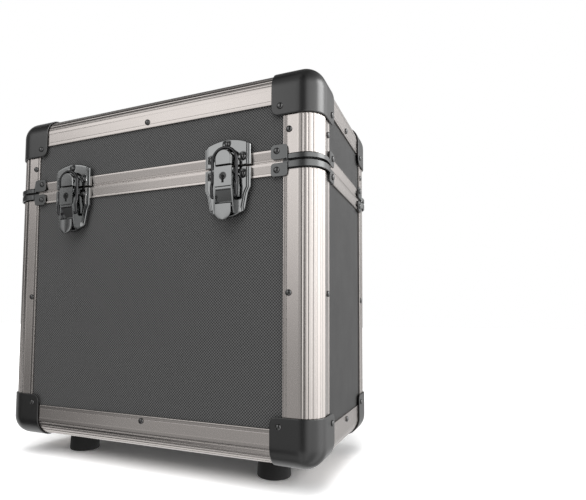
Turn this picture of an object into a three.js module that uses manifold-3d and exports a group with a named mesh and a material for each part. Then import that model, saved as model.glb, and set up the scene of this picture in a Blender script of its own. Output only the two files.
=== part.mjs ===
import * as THREE from 'three';
import { mergeVertices, toCreasedNormals } from 'three/addons/utils/BufferGeometryUtils.js';
import { RoundedBoxGeometry } from 'three/addons/geometries/RoundedBoxGeometry.js';
import Module from 'manifold-3d';

// Carrying case for about fifty twelve-inch records: flat boards held in round-edged aluminium
// extrusions, plastic corner caps, a deep lid on two rear hinges, and two key latches in front.
// Millimetres, +Z up, the latches face -Y, and the origin is on the floor at the middle.

// Case, over the outer faces of the extrusions and without the feet
const caseWidth = 366;
const caseDepth = 204;
const bodyHeight = 273;
const lidHeight = 87;

// Running and resting gaps
const clearance = 0.3;
const seamGap = 0.3;

// Boards
const boardThickness = 7;

// Edge extrusion, a rounded angle with a channel for each of two boards
const edgeRadius = 19;
const edgeFlange = 33.7;
const skinThickness = 1.5;
const webThickness = 1.5;
const lipThickness = 1.3;
const lipReach = 26;
const ribCount = 7;
const grooveWidth = 1.4;
const grooveDepth = 0.5;

// Rims that meet at the seam, a groove on the body and a tongue on the lid
const bodyBand = 12.8;
const lidBand = 11.8;
const bodyRimCorner = 8;
const lidRimCorner = 6;
const tongueThickness = 3.6;
const tongueDepth = 3;

// Corner caps
const capSpan = 45;
const capWall = 1.2;
const capFit = 0.4;
const capLobeRadius = 7;

// Corner clips beside the seam
const clipInner = 28;
const clipOuter = 45;
const clipSheet = 1.3;
const clipJoggle = 1.1;
const clipJoggleRun = 2.5;
const clipCornerRadius = 3;
const bodyClipStart = 2;
const bodyClipTab = 14.3;
const bodyStrapStart = 1.95;
const bodyStrapEnd = 7.35;
const lidClipStart = 1.4;
const lidClipTab = 14.7;
const lidStrapStart = 0.6;
const lidStrapEnd = 4.7;

// Feet
const footHeight = 24;
const footDiameter = 34;
const footTopDiameter = 31;
const footEdge = 2;
const footInsetX = 62;
const footInsetY = 55;
const footBoreDiameter = 12;
const footBoreDepth = 9;

// Latches, with heights measured from the seam and reach measured out from the case, and the
// distance in from the side of the case to the middle of a latch
const latchInset = 88;
const plateWidth = 47.4;
const plateRise = 5.2;
const plateSkirt = 3.8;
const plateStep = 4.2;
const strikeStart = 0.2;
const strikeShoulder = 19.7;
const strikeTop = 25.5;
const domeWidth = 17;
const domeStart = -0.6;
const domeTop = 14;
const domeReach = 13.1;
const domeEdge = 0.9;
const baseStart = 2.4;
const baseShoulder = 21;
const baseWaist = 26.5;
const baseWaistWidth = 42;
const baseEnd = 48.4;
const baseCorner = 42;
const baseCornerWidth = 36;
const baseChannelFloor = 1.2;
const baseChannelEnd = 38;
const earThickness = 1.2;
const earRadius = 3;

// Lever of a latch, with the lock box above and the thumb tab below
const leverWidth = 17;
const leverTop = 2.2;
const leverReach = 13.2;
const leverBack = 3.4;
const leverPivotReach = 10;
const leverPivotDrop = 5.8;
const leverCrownRadius = 4.3;
const pinRadius = 1.2;
const lockBoxEnd = 20.6;
const scoopTopReach = 12.8;
const scoopEnd = 37;
const scoopFloorReach = 5.2;
const cheekThickness = 1.3;
const cheekEndReach = 12.4;
const tabReach = 12.9;
const tabThickness = 2.6;
const tabEnd = 51.8;
const tabLift = 4;

// Wire bail of a latch
const wireRadius = 1.5;
const bailSpan = 25;
const bailReach = 9.9;
const bailKinkDrop = 16;
const bailKinkRun = 4;
const bailPivotReach = 10.3;
const bailPivotDrop = 30;
const bailDomeGap = 0.7;
const bailBend = 1.8;
const bailStubDepth = 2.2;

// Lock barrel of a latch
const barrelRadius = 3.4;
const barrelDrop = 11.3;
const barrelDepth = 4.5;
const keyPostRadius = 0.7;
const keyHoleRadius = 1.6;
const keyHoleDepth = 3;
const keySlotWidth = 1.5;
const keySlotDrop = 6;

// Rear hinges, whose middles lie in from the side of the case by the inset
const hingeInset = 89;
const hingeWidth = 62;
const hingeLeaf = 1.5;
const hingeLeafHeight = 33;
const hingeAxisReach = 4.4;
const hingeBarrelRadius = 3.1;
const hingePinRadius = 1.5;
const hingeKnuckles = 5;
const hingeJoggleRun = 3;
const hingeCornerRadius = 5;

// Handle that folds flat on the lid, with its legs in from the side of the case by the inset
// and its grip clear of the bends by the margin
const handleInset = 101;
const handleBend = 14;
const handleDrop = 52;
const handleRodRadius = 4;
const handleGripRadius = 10.5;
const handleGripMargin = 12;
const handleGripEnd = 5;
const handleAxisHeight = 11.5;
const handleEyeRadius = 9;
const bracketLength = 46;
const bracketWidth = 40;
const bracketPlate = 2;
const bracketCornerRadius = 6;
const bracketEar = 3;

// Cutters run past what they cut by this much, and joined pieces sink into each other by the next
const overrun = 1;
const joinDepth = 0.05;

// Facets
const roundSegments = 20;
const cornerSegments = 6;
const capSegments = 3;
const archSegments = 8;
const wireSides = 6;
const wireSteps = 46;
const bowSides = 8;
const bowSteps = 30;

// Finishes
const boardFinish = { color: 0x4b4b4b, roughness: 0.7, metalness: 0 };
const aluminiumFinish = { color: 0xcfc5c1, roughness: 0.35, metalness: 0.9 };
const capFinish = { color: 0x333333, roughness: 0.45, metalness: 0 };
const steelFinish = { color: 0x3c3c3e, roughness: 0.35, metalness: 0.6 };
const rubberFinish = { color: 0x1e1e1e, roughness: 0.85, metalness: 0 };
const brassFinish = { color: 0x8d8878, roughness: 0.4, metalness: 0.8 };

// Sizes that follow
const channelWidth = boardThickness + clearance * 2;
const boardFace = skinThickness + clearance;
const channelBack = skinThickness + channelWidth;
const lipBack = channelBack + lipThickness;
const boardEnd = edgeRadius + clearance;
const floorToCase = footHeight;
const seamHeight = floorToCase + bodyHeight;
const caseTop = seamHeight + lidHeight;
const halfWidth = caseWidth / 2;
const halfDepth = caseDepth / 2;
const tongueOffset = (skinThickness + channelBack - tongueThickness) / 2;
const frontReach = leverReach;
const backReach = hingeAxisReach + hingeBarrelRadius;
const handleSpan = caseWidth - handleInset * 2;
const handleGripLength = handleSpan - (handleBend + handleGripMargin) * 2;
// lengths of extrusion end inside the round of the corner, where the cap covers them
const endInset = edgeRadius - webThickness / 2;
// half the gap between two mitred ends, measured along a run
const mitreGap = clearance / Math.SQRT2;
const wasm = await Module();
wasm.setup();

// A closed geometry as a solid that can be joined and cut
function solid(geometry) {
  const bare = geometry.clone();
  bare.deleteAttribute('normal');
  bare.deleteAttribute('uv');
  const merged = mergeVertices(bare);
  const vertProperties = new Float32Array(merged.attributes.position.array);
  const kept = [];
  for (let at = 0; at < merged.index.count; at += 3) {
    const [a, b, c] = merged.index.array.slice(at, at + 3);
    // a revolved outline leaves triangles of no width on its axis
    if (a !== b && b !== c && c !== a) kept.push(a, b, c);
  }
  const triVerts = new Uint32Array(kept);
  return new wasm.Manifold(new wasm.Mesh({ numProp: 3, vertProperties, triVerts }));
}

// A solid back as a geometry, smooth over shallow angles and crisp at edges
function skin(body) {
  const mesh = body.getMesh();
  const geometry = new THREE.BufferGeometry();
  geometry.setAttribute('position', new THREE.BufferAttribute(mesh.vertProperties, mesh.numProp));
  geometry.setIndex(new THREE.BufferAttribute(mesh.triVerts, 1));
  return toCreasedNormals(geometry, Math.PI / 6);
}

function joined(first, ...others) {
  return others.reduce((whole, other) => whole.add(other), first);
}

function cut(first, ...others) {
  return others.reduce((whole, other) => whole.subtract(other), first);
}

// A block between two corners
function block(low, high) {
  const size = new THREE.Vector3().subVectors(high, low);
  const geometry = new THREE.BoxGeometry(size.x, size.y, size.z);
  const middle = new THREE.Vector3().addVectors(low, high).multiplyScalar(1 / 2);
  return geometry.translate(middle.x, middle.y, middle.z);
}

function corner(x, y, z) {
  return new THREE.Vector3(x, y, z);
}

function polygon(points) {
  return new THREE.Shape(points.map(([x, y]) => new THREE.Vector2(x, y)));
}

// A rectangle between two corners with its corners rounded
function roundedRectangle(x0, y0, x1, y1, radius, path = new THREE.Shape()) {
  const turn = Math.PI / 2;
  path.moveTo(x0 + radius, y0);
  path.lineTo(x1 - radius, y0);
  path.absarc(x1 - radius, y0 + radius, radius, -turn, 0);
  path.lineTo(x1, y1 - radius);
  path.absarc(x1 - radius, y1 - radius, radius, 0, turn);
  path.lineTo(x0 + radius, y1);
  path.absarc(x0 + radius, y1 - radius, radius, turn, turn * 2);
  path.lineTo(x0, y0 + radius);
  path.absarc(x0 + radius, y0 + radius, radius, turn * 2, turn * 3);
  return path;
}

// An outline in X and Y drawn up in Z, where each arc takes two steps a curve segment
function drawnUp(shape, from, to, segments = cornerSegments) {
  const settings = { depth: to - from, bevelEnabled: false, curveSegments: segments / 2 };
  return new THREE.ExtrudeGeometry(shape, settings).translate(0, 0, from);
}

// An outline in X and Z drawn along Y
function drawnBack(shape, from, to, segments = cornerSegments) {
  return drawnUp(shape, -to, -from, segments).rotateX(Math.PI / 2);
}

// An outline in Y and Z drawn along X
function drawnAcross(shape, from, to, segments = cornerSegments) {
  return drawnUp(shape, from, to, segments).rotateZ(Math.PI / 2).rotateY(Math.PI / 2);
}

function rod(radius, from, to, segments = roundSegments) {
  const geometry = new THREE.CylinderGeometry(radius, radius, to - from, segments);
  return geometry.translate(0, (from + to) / 2, 0);
}

const finishes = new Map();

function named(name, geometry, finish) {
  if (!finishes.has(finish)) finishes.set(finish, new THREE.MeshStandardMaterial(finish));
  const mesh = new THREE.Mesh(geometry, finishes.get(finish));
  mesh.name = name;
  return mesh;
}

// The four upright corners in turn, each a quarter turn on from the one before
const corners = [
  { name: 'front_left', x: -halfWidth, y: -halfDepth },
  { name: 'front_right', x: halfWidth, y: -halfDepth },
  { name: 'back_right', x: halfWidth, y: halfDepth },
  { name: 'back_left', x: -halfWidth, y: halfDepth },
];

// Copies of a piece that is drawn at a corner opening towards +X and +Y, one for each corner
function atCorners(prefix, geometry, finish, height, upsideDown = false) {
  const group = new THREE.Group();
  corners.forEach((place, turns) => {
    const mesh = named(`${prefix}_${place.name}`, geometry, finish);
    const post = new THREE.Group();
    // half a turn about the corner's diagonal swaps X with Y and turns the piece over
    if (upsideDown) mesh.setRotationFromAxisAngle(new THREE.Vector3(1, 1, 0).normalize(), Math.PI);
    post.add(mesh);
    post.rotation.z = turns * Math.PI / 2;
    post.position.set(place.x, place.y, height);
    group.add(post);
  });
  return group;
}

// Half section of the extrusion's outside, from one flange edge round the ribbed corner
function ribbedCorner() {
  const points = [[edgeFlange, 0]];
  const halfGroove = grooveWidth / 2 / edgeRadius;
  const on = (radius, angle) => [
    edgeRadius + radius * Math.cos(angle),
    edgeRadius + radius * Math.sin(angle),
  ];
  points.push([edgeRadius, 0]);
  for (let rib = 1; rib < ribCount; rib += 1) {
    const angle = -Math.PI / 2 - (Math.PI / 2) * (rib / ribCount);
    points.push(on(edgeRadius, angle + halfGroove));
    points.push(on(edgeRadius - grooveDepth, angle));
    points.push(on(edgeRadius, angle - halfGroove));
  }
  points.push([0, edgeRadius], [0, edgeFlange]);
  return points;
}

// Section of the extrusion: skin, two board channels, two inner lips and a hollow corner
function edgeSection() {
  const webFront = edgeRadius - webThickness;
  const shape = polygon([
    ...ribbedCorner(),
    [skinThickness, edgeFlange],
    [skinThickness, edgeRadius],
    [channelBack, edgeRadius],
    [channelBack, lipReach],
    [lipBack, lipReach],
    [lipBack, lipBack],
    [lipReach, lipBack],
    [lipReach, channelBack],
    [edgeRadius, channelBack],
    [edgeRadius, skinThickness],
    [edgeFlange, skinThickness],
  ]);
  const innerRadius = edgeRadius - skinThickness;
  const swing = Math.asin(webThickness / innerRadius);
  const hollow = new THREE.Path();
  hollow.absarc(edgeRadius, edgeRadius, innerRadius, Math.PI + swing, Math.PI * 3 / 2 - swing);
  hollow.lineTo(webFront, channelBack);
  hollow.lineTo(channelBack, channelBack);
  hollow.lineTo(channelBack, webFront);
  hollow.closePath();
  shape.holes.push(hollow);
  return shape;
}

// What a mitre leaves of a length, in the plane of its run and one of its flanges
function mitreOutline(length, squareEnd) {
  const reach = edgeFlange + overrun;
  const points = [[endInset, -overrun], [endInset, endInset - mitreGap], [reach + mitreGap, reach]];
  if (squareEnd) {
    points.push([length + overrun, reach], [length + overrun, -overrun]);
  } else {
    points.push([length - reach - mitreGap, reach], [length - endInset, endInset - mitreGap]);
    points.push([length - endInset, -overrun]);
  }
  return drawnUp(polygon(points), -overrun, reach);
}

// A length along X with its corner on the axis, open towards +Y and +Z, mitred against Z
function edgeAlong(length, squareEnd = false) {
  const bar = solid(drawnAcross(edgeSection(), 0, length));
  return bar.intersect(solid(mitreOutline(length, squareEnd).rotateX(Math.PI / 2)
    .translate(0, edgeFlange, 0)));
}

// Upright length at one corner, mitred at the bottom on both flanges and square below the rim
function uprightEdge(length) {
  const mitred = edgeAlong(length, true).intersect(solid(mitreOutline(length, true)));
  return skin(mitred).rotateY(-Math.PI / 2).rotateZ(-Math.PI / 2);
}

// Four lengths fused into the frame round the bottom, about the middle of the case
function edgeFrame() {
  const along = skin(edgeAlong(caseWidth)).translate(-halfWidth, -halfDepth, 0);
  const deep = skin(edgeAlong(caseDepth)).translate(-halfDepth, -halfWidth, 0);
  deep.rotateZ(Math.PI / 2);
  const lengths = [along, deep, along.clone().rotateZ(Math.PI), deep.clone().rotateZ(Math.PI)];
  return skin(joined(...lengths.map(solid)));
}

// A ring that follows the case's plan between two distances in from the outer face
function planRing(outer, inner, from, to) {
  const outline = (inset, path) => roundedRectangle(
    inset - halfWidth, inset - halfDepth, halfWidth - inset, halfDepth - inset,
    edgeRadius - inset, path);
  const shape = outline(outer);
  shape.holes.push(outline(inner, new THREE.Path()));
  return solid(drawnUp(shape, from, to));
}

// Straight flanges on the four sides, at one distance in from the outer face
function sideFlanges(outer, inner, ends, from, to) {
  const sides = [];
  for (const side of [-1, 1]) {
    const y0 = side * (halfDepth - outer);
    const y1 = side * (halfDepth - inner);
    const x = halfWidth - ends;
    sides.push(block(corner(-x, Math.min(y0, y1), from), corner(x, Math.max(y0, y1), to)));
    const x0 = side * (halfWidth - outer);
    const x1 = side * (halfWidth - inner);
    const y = halfDepth - ends;
    sides.push(block(corner(Math.min(x0, x1), -y, from), corner(Math.max(x0, x1), y, to)));
  }
  return sides.map(solid);
}

// Rim of one half, with heights measured from the seam away from it, before it is turned over
function rim(band, ringHeight) {
  const mouth = seamGap / 2;
  const web = ringHeight - webThickness;
  const outerEnd = edgeFlange + clearance;
  const innerEnd = lipReach + clearance;
  return joined(
    planRing(0, lipBack, web, ringHeight),
    planRing(0, skinThickness, mouth, web + joinDepth),
    planRing(channelBack, lipBack, mouth, web + joinDepth),
    ...sideFlanges(0, skinThickness, outerEnd, ringHeight - joinDepth, band),
    ...sideFlanges(channelBack, lipBack, innerEnd, ringHeight - joinDepth, band),
  );
}

function bodyRim() {
  return skin(rim(bodyBand, bodyRimCorner)).rotateX(Math.PI);
}

function lidRim() {
  const tongueTop = lidRimCorner - webThickness + joinDepth;
  const tongue = planRing(tongueOffset, tongueOffset + tongueThickness, -tongueDepth, tongueTop);
  return skin(rim(lidBand, lidRimCorner).add(tongue));
}

// Boards, held in the channels on every side
function boards() {
  const group = new THREE.Group();
  const bodyTop = seamHeight - bodyRimCorner - clearance;
  const lidBottom = seamHeight + lidRimCorner + clearance;
  const halves = [
    { prefix: '', from: floorToCase + boardEnd, to: bodyTop },
    { prefix: 'lid_', from: lidBottom, to: caseTop - boardEnd },
  ];
  for (const { prefix, from, to } of halves) {
    const height = to - from;
    const wide = new THREE.BoxGeometry(caseWidth - boardEnd * 2, boardThickness, height);
    const deep = new THREE.BoxGeometry(boardThickness, caseDepth - boardEnd * 2, height);
    for (const [name, side] of [['front', -1], ['back', 1]]) {
      const board = named(`${prefix}${name}_board`, wide, boardFinish);
      board.position.set(0, side * (halfDepth - boardFace - boardThickness / 2), (from + to) / 2);
      group.add(board);
    }
    for (const [name, side] of [['left', -1], ['right', 1]]) {
      const board = named(`${prefix}${name}_board`, deep, boardFinish);
      board.position.set(side * (halfWidth - boardFace - boardThickness / 2), 0, (from + to) / 2);
      group.add(board);
    }
  }
  const flat = new THREE.BoxGeometry(
    caseWidth - boardEnd * 2, caseDepth - boardEnd * 2, boardThickness);
  const bottom = named('bottom_board', flat, boardFinish);
  bottom.position.z = floorToCase + boardFace + boardThickness / 2;
  const top = named('lid_top_board', flat, boardFinish);
  top.position.z = caseTop - boardFace - boardThickness / 2;
  group.add(bottom, top);
  return group;
}

// Corner cap: a ball corner with three square lobes that share one rounded outline
function cornerCap() {
  const innerReach = capFit;
  const outerReach = capFit + capWall;
  const size = capSpan * 2 + edgeRadius * 2;
  const shell = (reach) => {
    const whole = new RoundedBoxGeometry(
      size + reach * 2, size + reach * 2, size + reach * 2, capSegments, edgeRadius + reach);
    return solid(whole.translate(size / 2, size / 2, size / 2));
  };
  const lobe = () => {
    const start = -outerReach - overrun;
    const shape = new THREE.Shape();
    shape.moveTo(start, start);
    shape.lineTo(capSpan, start);
    shape.lineTo(capSpan, capSpan - capLobeRadius);
    shape.absarc(capSpan - capLobeRadius, capSpan - capLobeRadius, capLobeRadius, 0, Math.PI / 2);
    shape.lineTo(start, capSpan);
    return shape;
  };
  const low = -outerReach - overrun;
  const high = capSpan + overrun;
  return skin(shell(outerReach).subtract(shell(innerReach))
    .intersect(solid(drawnUp(lobe(), low, high, cornerSegments)))
    .intersect(solid(drawnBack(lobe(), low, high, cornerSegments)))
    .intersect(solid(drawnAcross(lobe(), low, high, cornerSegments))));
}

// Corner clip, drawn above the seam: a strap round the corner between two rounded tabs
function cornerClip(start, tabHeight, strapStart, strapEnd) {
  const tabFace = clearance + clipSheet;
  const strapFace = tabFace + clipJoggle;
  const strapBack = clearance + clipJoggle;
  const joggleEnd = clipInner + clipJoggleRun;
  const bend = (reach) => edgeRadius + reach;
  const strap = new THREE.Shape();
  strap.moveTo(joggleEnd, -tabFace);
  strap.lineTo(clipInner, -strapFace);
  strap.lineTo(edgeRadius, -strapFace);
  strap.absarc(edgeRadius, edgeRadius, bend(strapFace), Math.PI * 3 / 2, Math.PI, true);
  strap.lineTo(-strapFace, clipInner);
  strap.lineTo(-tabFace, joggleEnd);
  strap.lineTo(-clearance, joggleEnd);
  strap.lineTo(-clearance, clipInner + clipSheet);
  strap.lineTo(-strapBack, clipInner);
  strap.lineTo(-strapBack, edgeRadius);
  strap.absarc(edgeRadius, edgeRadius, bend(strapBack), Math.PI, Math.PI * 3 / 2, false);
  strap.lineTo(clipInner, -strapBack);
  strap.lineTo(clipInner + clipSheet, -clearance);
  strap.lineTo(joggleEnd, -clearance);
  const tab = roundedRectangle(
    clipInner + clipSheet, start, clipOuter, tabHeight, clipCornerRadius);
  const onFront = drawnBack(tab, -tabFace, -clearance, cornerSegments / 2);
  // the other tab is the first one turned over about the corner's diagonal plane
  const onSide = drawnAcross(tab, -tabFace, -clearance, cornerSegments / 2);
  return skin(joined(solid(drawnUp(strap, strapStart, strapEnd, cornerSegments)),
    solid(onFront), solid(onSide)));
}

// Foot: a tapered rubber buffer with a sunk hole for its screw
function foot() {
  const top = footHeight + skinThickness;
  const radius = footDiameter / 2;
  const boreRadius = footBoreDiameter / 2;
  const outline = [
    [0, footBoreDepth], [boreRadius, footBoreDepth], [boreRadius, 0],
    [radius - footEdge, 0], [radius, footEdge], [footTopDiameter / 2, top], [0, top],
  ];
  const points = outline.map(([x, y]) => new THREE.Vector2(x, y));
  return skin(solid(new THREE.LatheGeometry(points, roundSegments).rotateX(Math.PI / 2)));
}

// An outline given as reach out from the case and rise above the seam, drawn across the latch
function sideDrawn(points, halfThickness, middle = 0) {
  const shape = polygon(points.map(([reach, rise]) => [-reach, rise]));
  return solid(drawnAcross(shape, middle - halfThickness, middle + halfThickness));
}

// An outline in X and Z raised from one reach to another, its front edge sloped in by an inset
function raised(shape, from, to, inset, slope, segments = cornerSegments) {
  const depth = to - slope - from + overrun;
  const geometry = new THREE.ExtrudeGeometry(shape, {
    depth, bevelEnabled: true, bevelThickness: slope, bevelSize: inset, bevelOffset: -inset,
    bevelSegments: 1, curveSegments: segments / 2,
  });
  geometry.translate(0, 0, from - overrun).rotateX(Math.PI / 2);
  const span = caseWidth;
  const behind = block(corner(-span, -from, -span), corner(span, -from + slope + overrun * 2, span));
  return solid(geometry).subtract(solid(behind));
}

// The rim of one half, with room round it, as a rebate behind a plate that crosses it
function rimRebate(low, high) {
  const span = plateWidth;
  return solid(block(corner(-span, -clearance, low), corner(span, boardFace + overrun, high)));
}

// Radius of an arc from half its span and its rise
function arcRadius(half, rise) {
  return (half * half + rise * rise) / (rise * 2);
}

// Strike of a latch, on the lid: an arched plate and the dome that the bail hooks over
function latchStrike() {
  const half = plateWidth / 2;
  const archRadius = arcRadius(half, strikeTop - strikeShoulder);
  const archHalf = Math.asin(half / archRadius);
  const below = strikeStart - plateSkirt - overrun;
  const outline = new THREE.Shape();
  outline.moveTo(-half, below);
  outline.lineTo(half, below);
  outline.lineTo(half, strikeShoulder);
  outline.absarc(0, strikeTop - archRadius, archRadius,
    Math.PI / 2 - archHalf, Math.PI / 2 + archHalf);
  const plate = raised(outline, clearance - boardFace, plateRise, plateSkirt, plateRise - plateStep);
  const underside = solid(block(
    corner(-plateWidth, -plateRise - overrun, below - overrun),
    corner(plateWidth, boardFace + overrun, strikeStart)));
  const domeHalf = domeWidth / 2;
  const domeOutline = new THREE.Shape();
  domeOutline.moveTo(-domeHalf, domeStart);
  domeOutline.lineTo(domeHalf, domeStart);
  domeOutline.absarc(0, domeTop - domeHalf, domeHalf, 0, Math.PI);
  const dome = raised(domeOutline, clearance, domeReach, domeEdge, domeEdge, archSegments);
  const trimmed = cut(plate, underside, rimRebate(-overrun, lidBand + clearance));
  return skin(trimmed.add(dome));
}

// Base of a latch, on the body: a plate that narrows to a curved heel, with a channel, ears and a pin
function latchBase() {
  const half = plateWidth / 2;
  const waist = baseWaistWidth / 2;
  const heel = baseCornerWidth / 2;
  const endRadius = arcRadius(heel, baseEnd - baseCorner);
  const endHalf = Math.asin(heel / endRadius);
  const above = plateSkirt + overrun - baseStart;
  const outline = new THREE.Shape();
  outline.moveTo(half, above);
  outline.lineTo(-half, above);
  outline.lineTo(-half, -baseShoulder);
  outline.lineTo(-waist, -baseWaist);
  outline.absarc(0, endRadius - baseEnd, endRadius,
    Math.PI * 3 / 2 - endHalf, Math.PI * 3 / 2 + endHalf);
  outline.lineTo(waist, -baseWaist);
  outline.lineTo(half, -baseShoulder);
  const plate = raised(outline, clearance - boardFace, plateRise, plateSkirt, plateRise - plateStep);
  const topside = solid(block(
    corner(-plateWidth, -plateRise - overrun, -baseStart),
    corner(plateWidth, boardFace + overrun, above + overrun)));
  const channelHalf = leverWidth / 2 + clearance;
  const channel = solid(block(
    corner(-channelHalf, -plateRise - overrun, -baseChannelEnd),
    corner(channelHalf, -baseChannelFloor, above)));
  const ears = [-1, 1].map((side) => {
    const ear = new THREE.Shape();
    ear.moveTo(-plateStep, -leverPivotDrop - earRadius);
    ear.lineTo(-plateStep, -leverPivotDrop + earRadius);
    ear.lineTo(-leverPivotReach, -leverPivotDrop + earRadius);
    ear.absarc(-leverPivotReach, -leverPivotDrop, earRadius, Math.PI / 2, Math.PI * 3 / 2);
    const near = channelHalf + joinDepth;
    const [from, to] = side > 0 ? [near, near + earThickness] : [-near - earThickness, -near];
    return solid(drawnAcross(ear, from, to));
  });
  const pinEnd = channelHalf + earThickness;
  const pin = rod(pinRadius, -pinEnd, pinEnd, roundSegments / 2).rotateZ(-Math.PI / 2);
  pin.translate(0, -leverPivotReach, -leverPivotDrop);
  const trimmed = cut(plate, topside, channel, rimRebate(-bodyBand - clearance, overrun));
  return skin(joined(trimmed, ...ears, solid(pin)));
}

// Lever of a latch: lock box, hollow scoop between two cheeks, and thumb tab
function latchLever() {
  const half = leverWidth / 2;
  const crown = leverTop + leverCrownRadius;
  const side = new THREE.Shape();
  side.moveTo(-leverReach, -leverTop);
  side.lineTo(-leverReach, -lockBoxEnd);
  side.lineTo(-scoopTopReach, -lockBoxEnd - cheekThickness);
  side.lineTo(-cheekEndReach, -scoopEnd);
  side.lineTo(-tabReach, -scoopEnd - cheekThickness);
  side.lineTo(-tabReach, -tabEnd);
  side.lineTo(tabThickness - tabReach, -tabEnd);
  side.lineTo(tabThickness - tabReach, -scoopEnd - tabLift);
  side.lineTo(-leverBack, tabLift - scoopEnd);
  side.lineTo(-leverBack, -crown);
  side.absarc(-leverBack - leverCrownRadius, -crown, leverCrownRadius, 0, Math.PI / 2);
  const front = new THREE.Shape();
  front.moveTo(half, overrun);
  front.lineTo(-half, overrun);
  front.absarc(0, half - tabEnd, half, Math.PI, Math.PI * 2);
  const scoop = new THREE.Shape();
  const scoopMiddle = scoopFloorReach * 2 - (scoopTopReach + cheekEndReach) / 2;
  scoop.moveTo(-leverReach - overrun, -lockBoxEnd - cheekThickness);
  scoop.lineTo(-scoopTopReach, -lockBoxEnd - cheekThickness);
  scoop.quadraticCurveTo(
    -scoopMiddle, -(lockBoxEnd + cheekThickness + scoopEnd) / 2, -cheekEndReach, -scoopEnd);
  scoop.lineTo(-leverReach - overrun, -scoopEnd);
  const pinHole = rod(pinRadius + clearance, -half - overrun, half + overrun, roundSegments / 2);
  pinHole.rotateZ(-Math.PI / 2).translate(0, -leverPivotReach, -leverPivotDrop);
  const stubHoles = [-1, 1].map((end) => {
    const inner = half - bailStubDepth - clearance;
    const hole = rod(wireRadius + clearance, inner, half + overrun, roundSegments / 2);
    return solid(hole.rotateZ(-end * Math.PI / 2).translate(0, -bailPivotReach, -bailPivotDrop));
  });
  const bore = rod(barrelRadius + clearance, -leverReach - overrun,
    -leverReach + barrelDepth + clearance).translate(0, 0, -barrelDrop);
  const keySlot = block(
    corner(-keySlotWidth / 2, -leverReach - overrun, -barrelDrop - keySlotDrop),
    corner(keySlotWidth / 2, -leverReach + keyHoleDepth, -barrelDrop));
  const scoopHalf = half - cheekThickness;
  return skin(cut(
    solid(drawnAcross(side, -half, half))
      .intersect(solid(drawnBack(front, -leverReach - overrun, overrun, archSegments))),
    solid(drawnAcross(scoop, -scoopHalf, scoopHalf, archSegments)),
    solid(pinHole), ...stubHoles, solid(bore), solid(keySlot)));
}

// A bent wire along straight runs whose corners are rounded off
function bentRod(points, bend, radius, sides, steps) {
  const path = new THREE.CurvePath();
  let from = points[0];
  for (let at = 1; at < points.length - 1; at += 1) {
    const knee = points[at];
    const before = from.clone().sub(knee).setLength(bend).add(knee);
    const after = points[at + 1].clone().sub(knee).setLength(bend).add(knee);
    path.add(new THREE.LineCurve3(from, before));
    path.add(new THREE.QuadraticBezierCurve3(before, knee, after));
    from = after;
  }
  path.add(new THREE.LineCurve3(from, points[points.length - 1]));
  const section = new THREE.Shape();
  section.absarc(0, 0, radius, 0, Math.PI * 2);
  return new THREE.ExtrudeGeometry(section, { steps, extrudePath: path, curveSegments: sides / 2 });
}

// Wire bail of a latch, from one pivot hole up over the dome and down to the other
function latchBail() {
  const half = bailSpan / 2;
  const archTop = domeTop + bailDomeGap + wireRadius;
  const stubEnd = leverWidth / 2 - bailStubDepth;
  const leg = (side) => [
    corner(side * stubEnd, -bailPivotReach, -bailPivotDrop),
    corner(side * half, -bailPivotReach, -bailPivotDrop),
    corner(side * half, -bailPivotReach, -bailKinkDrop - bailKinkRun),
    corner(side * half, -bailReach, -bailKinkDrop),
  ];
  // the arch is a half circle, drawn as a fan of short chords
  const arch = [];
  for (let step = 0; step <= archSegments; step += 1) {
    const angle = Math.PI - Math.PI * step / archSegments;
    arch.push(corner(half * Math.cos(angle), -bailReach, archTop - half + half * Math.sin(angle)));
  }
  const points = [...leg(-1), ...arch, ...leg(1).reverse()];
  return skin(solid(bentRod(points, bailBend, wireRadius, wireSides, wireSteps)));
}

// Lock barrel of a latch: a disc with a keyhole round a fixed post
function lockBarrel() {
  const face = -leverReach;
  const barrel = solid(rod(barrelRadius, face, face + barrelDepth));
  const hole = solid(rod(keyHoleRadius, face - overrun, face + keyHoleDepth, roundSegments / 2));
  const post = solid(rod(keyPostRadius, face, face + keyHoleDepth + joinDepth, roundSegments / 2));
  const slot = solid(block(
    corner(-keySlotWidth / 2, face - overrun, -barrelRadius - overrun),
    corner(keySlotWidth / 2, face + keyHoleDepth, 0)));
  return skin(cut(barrel, hole, slot).add(post)).translate(0, 0, -barrelDrop);
}

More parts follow.
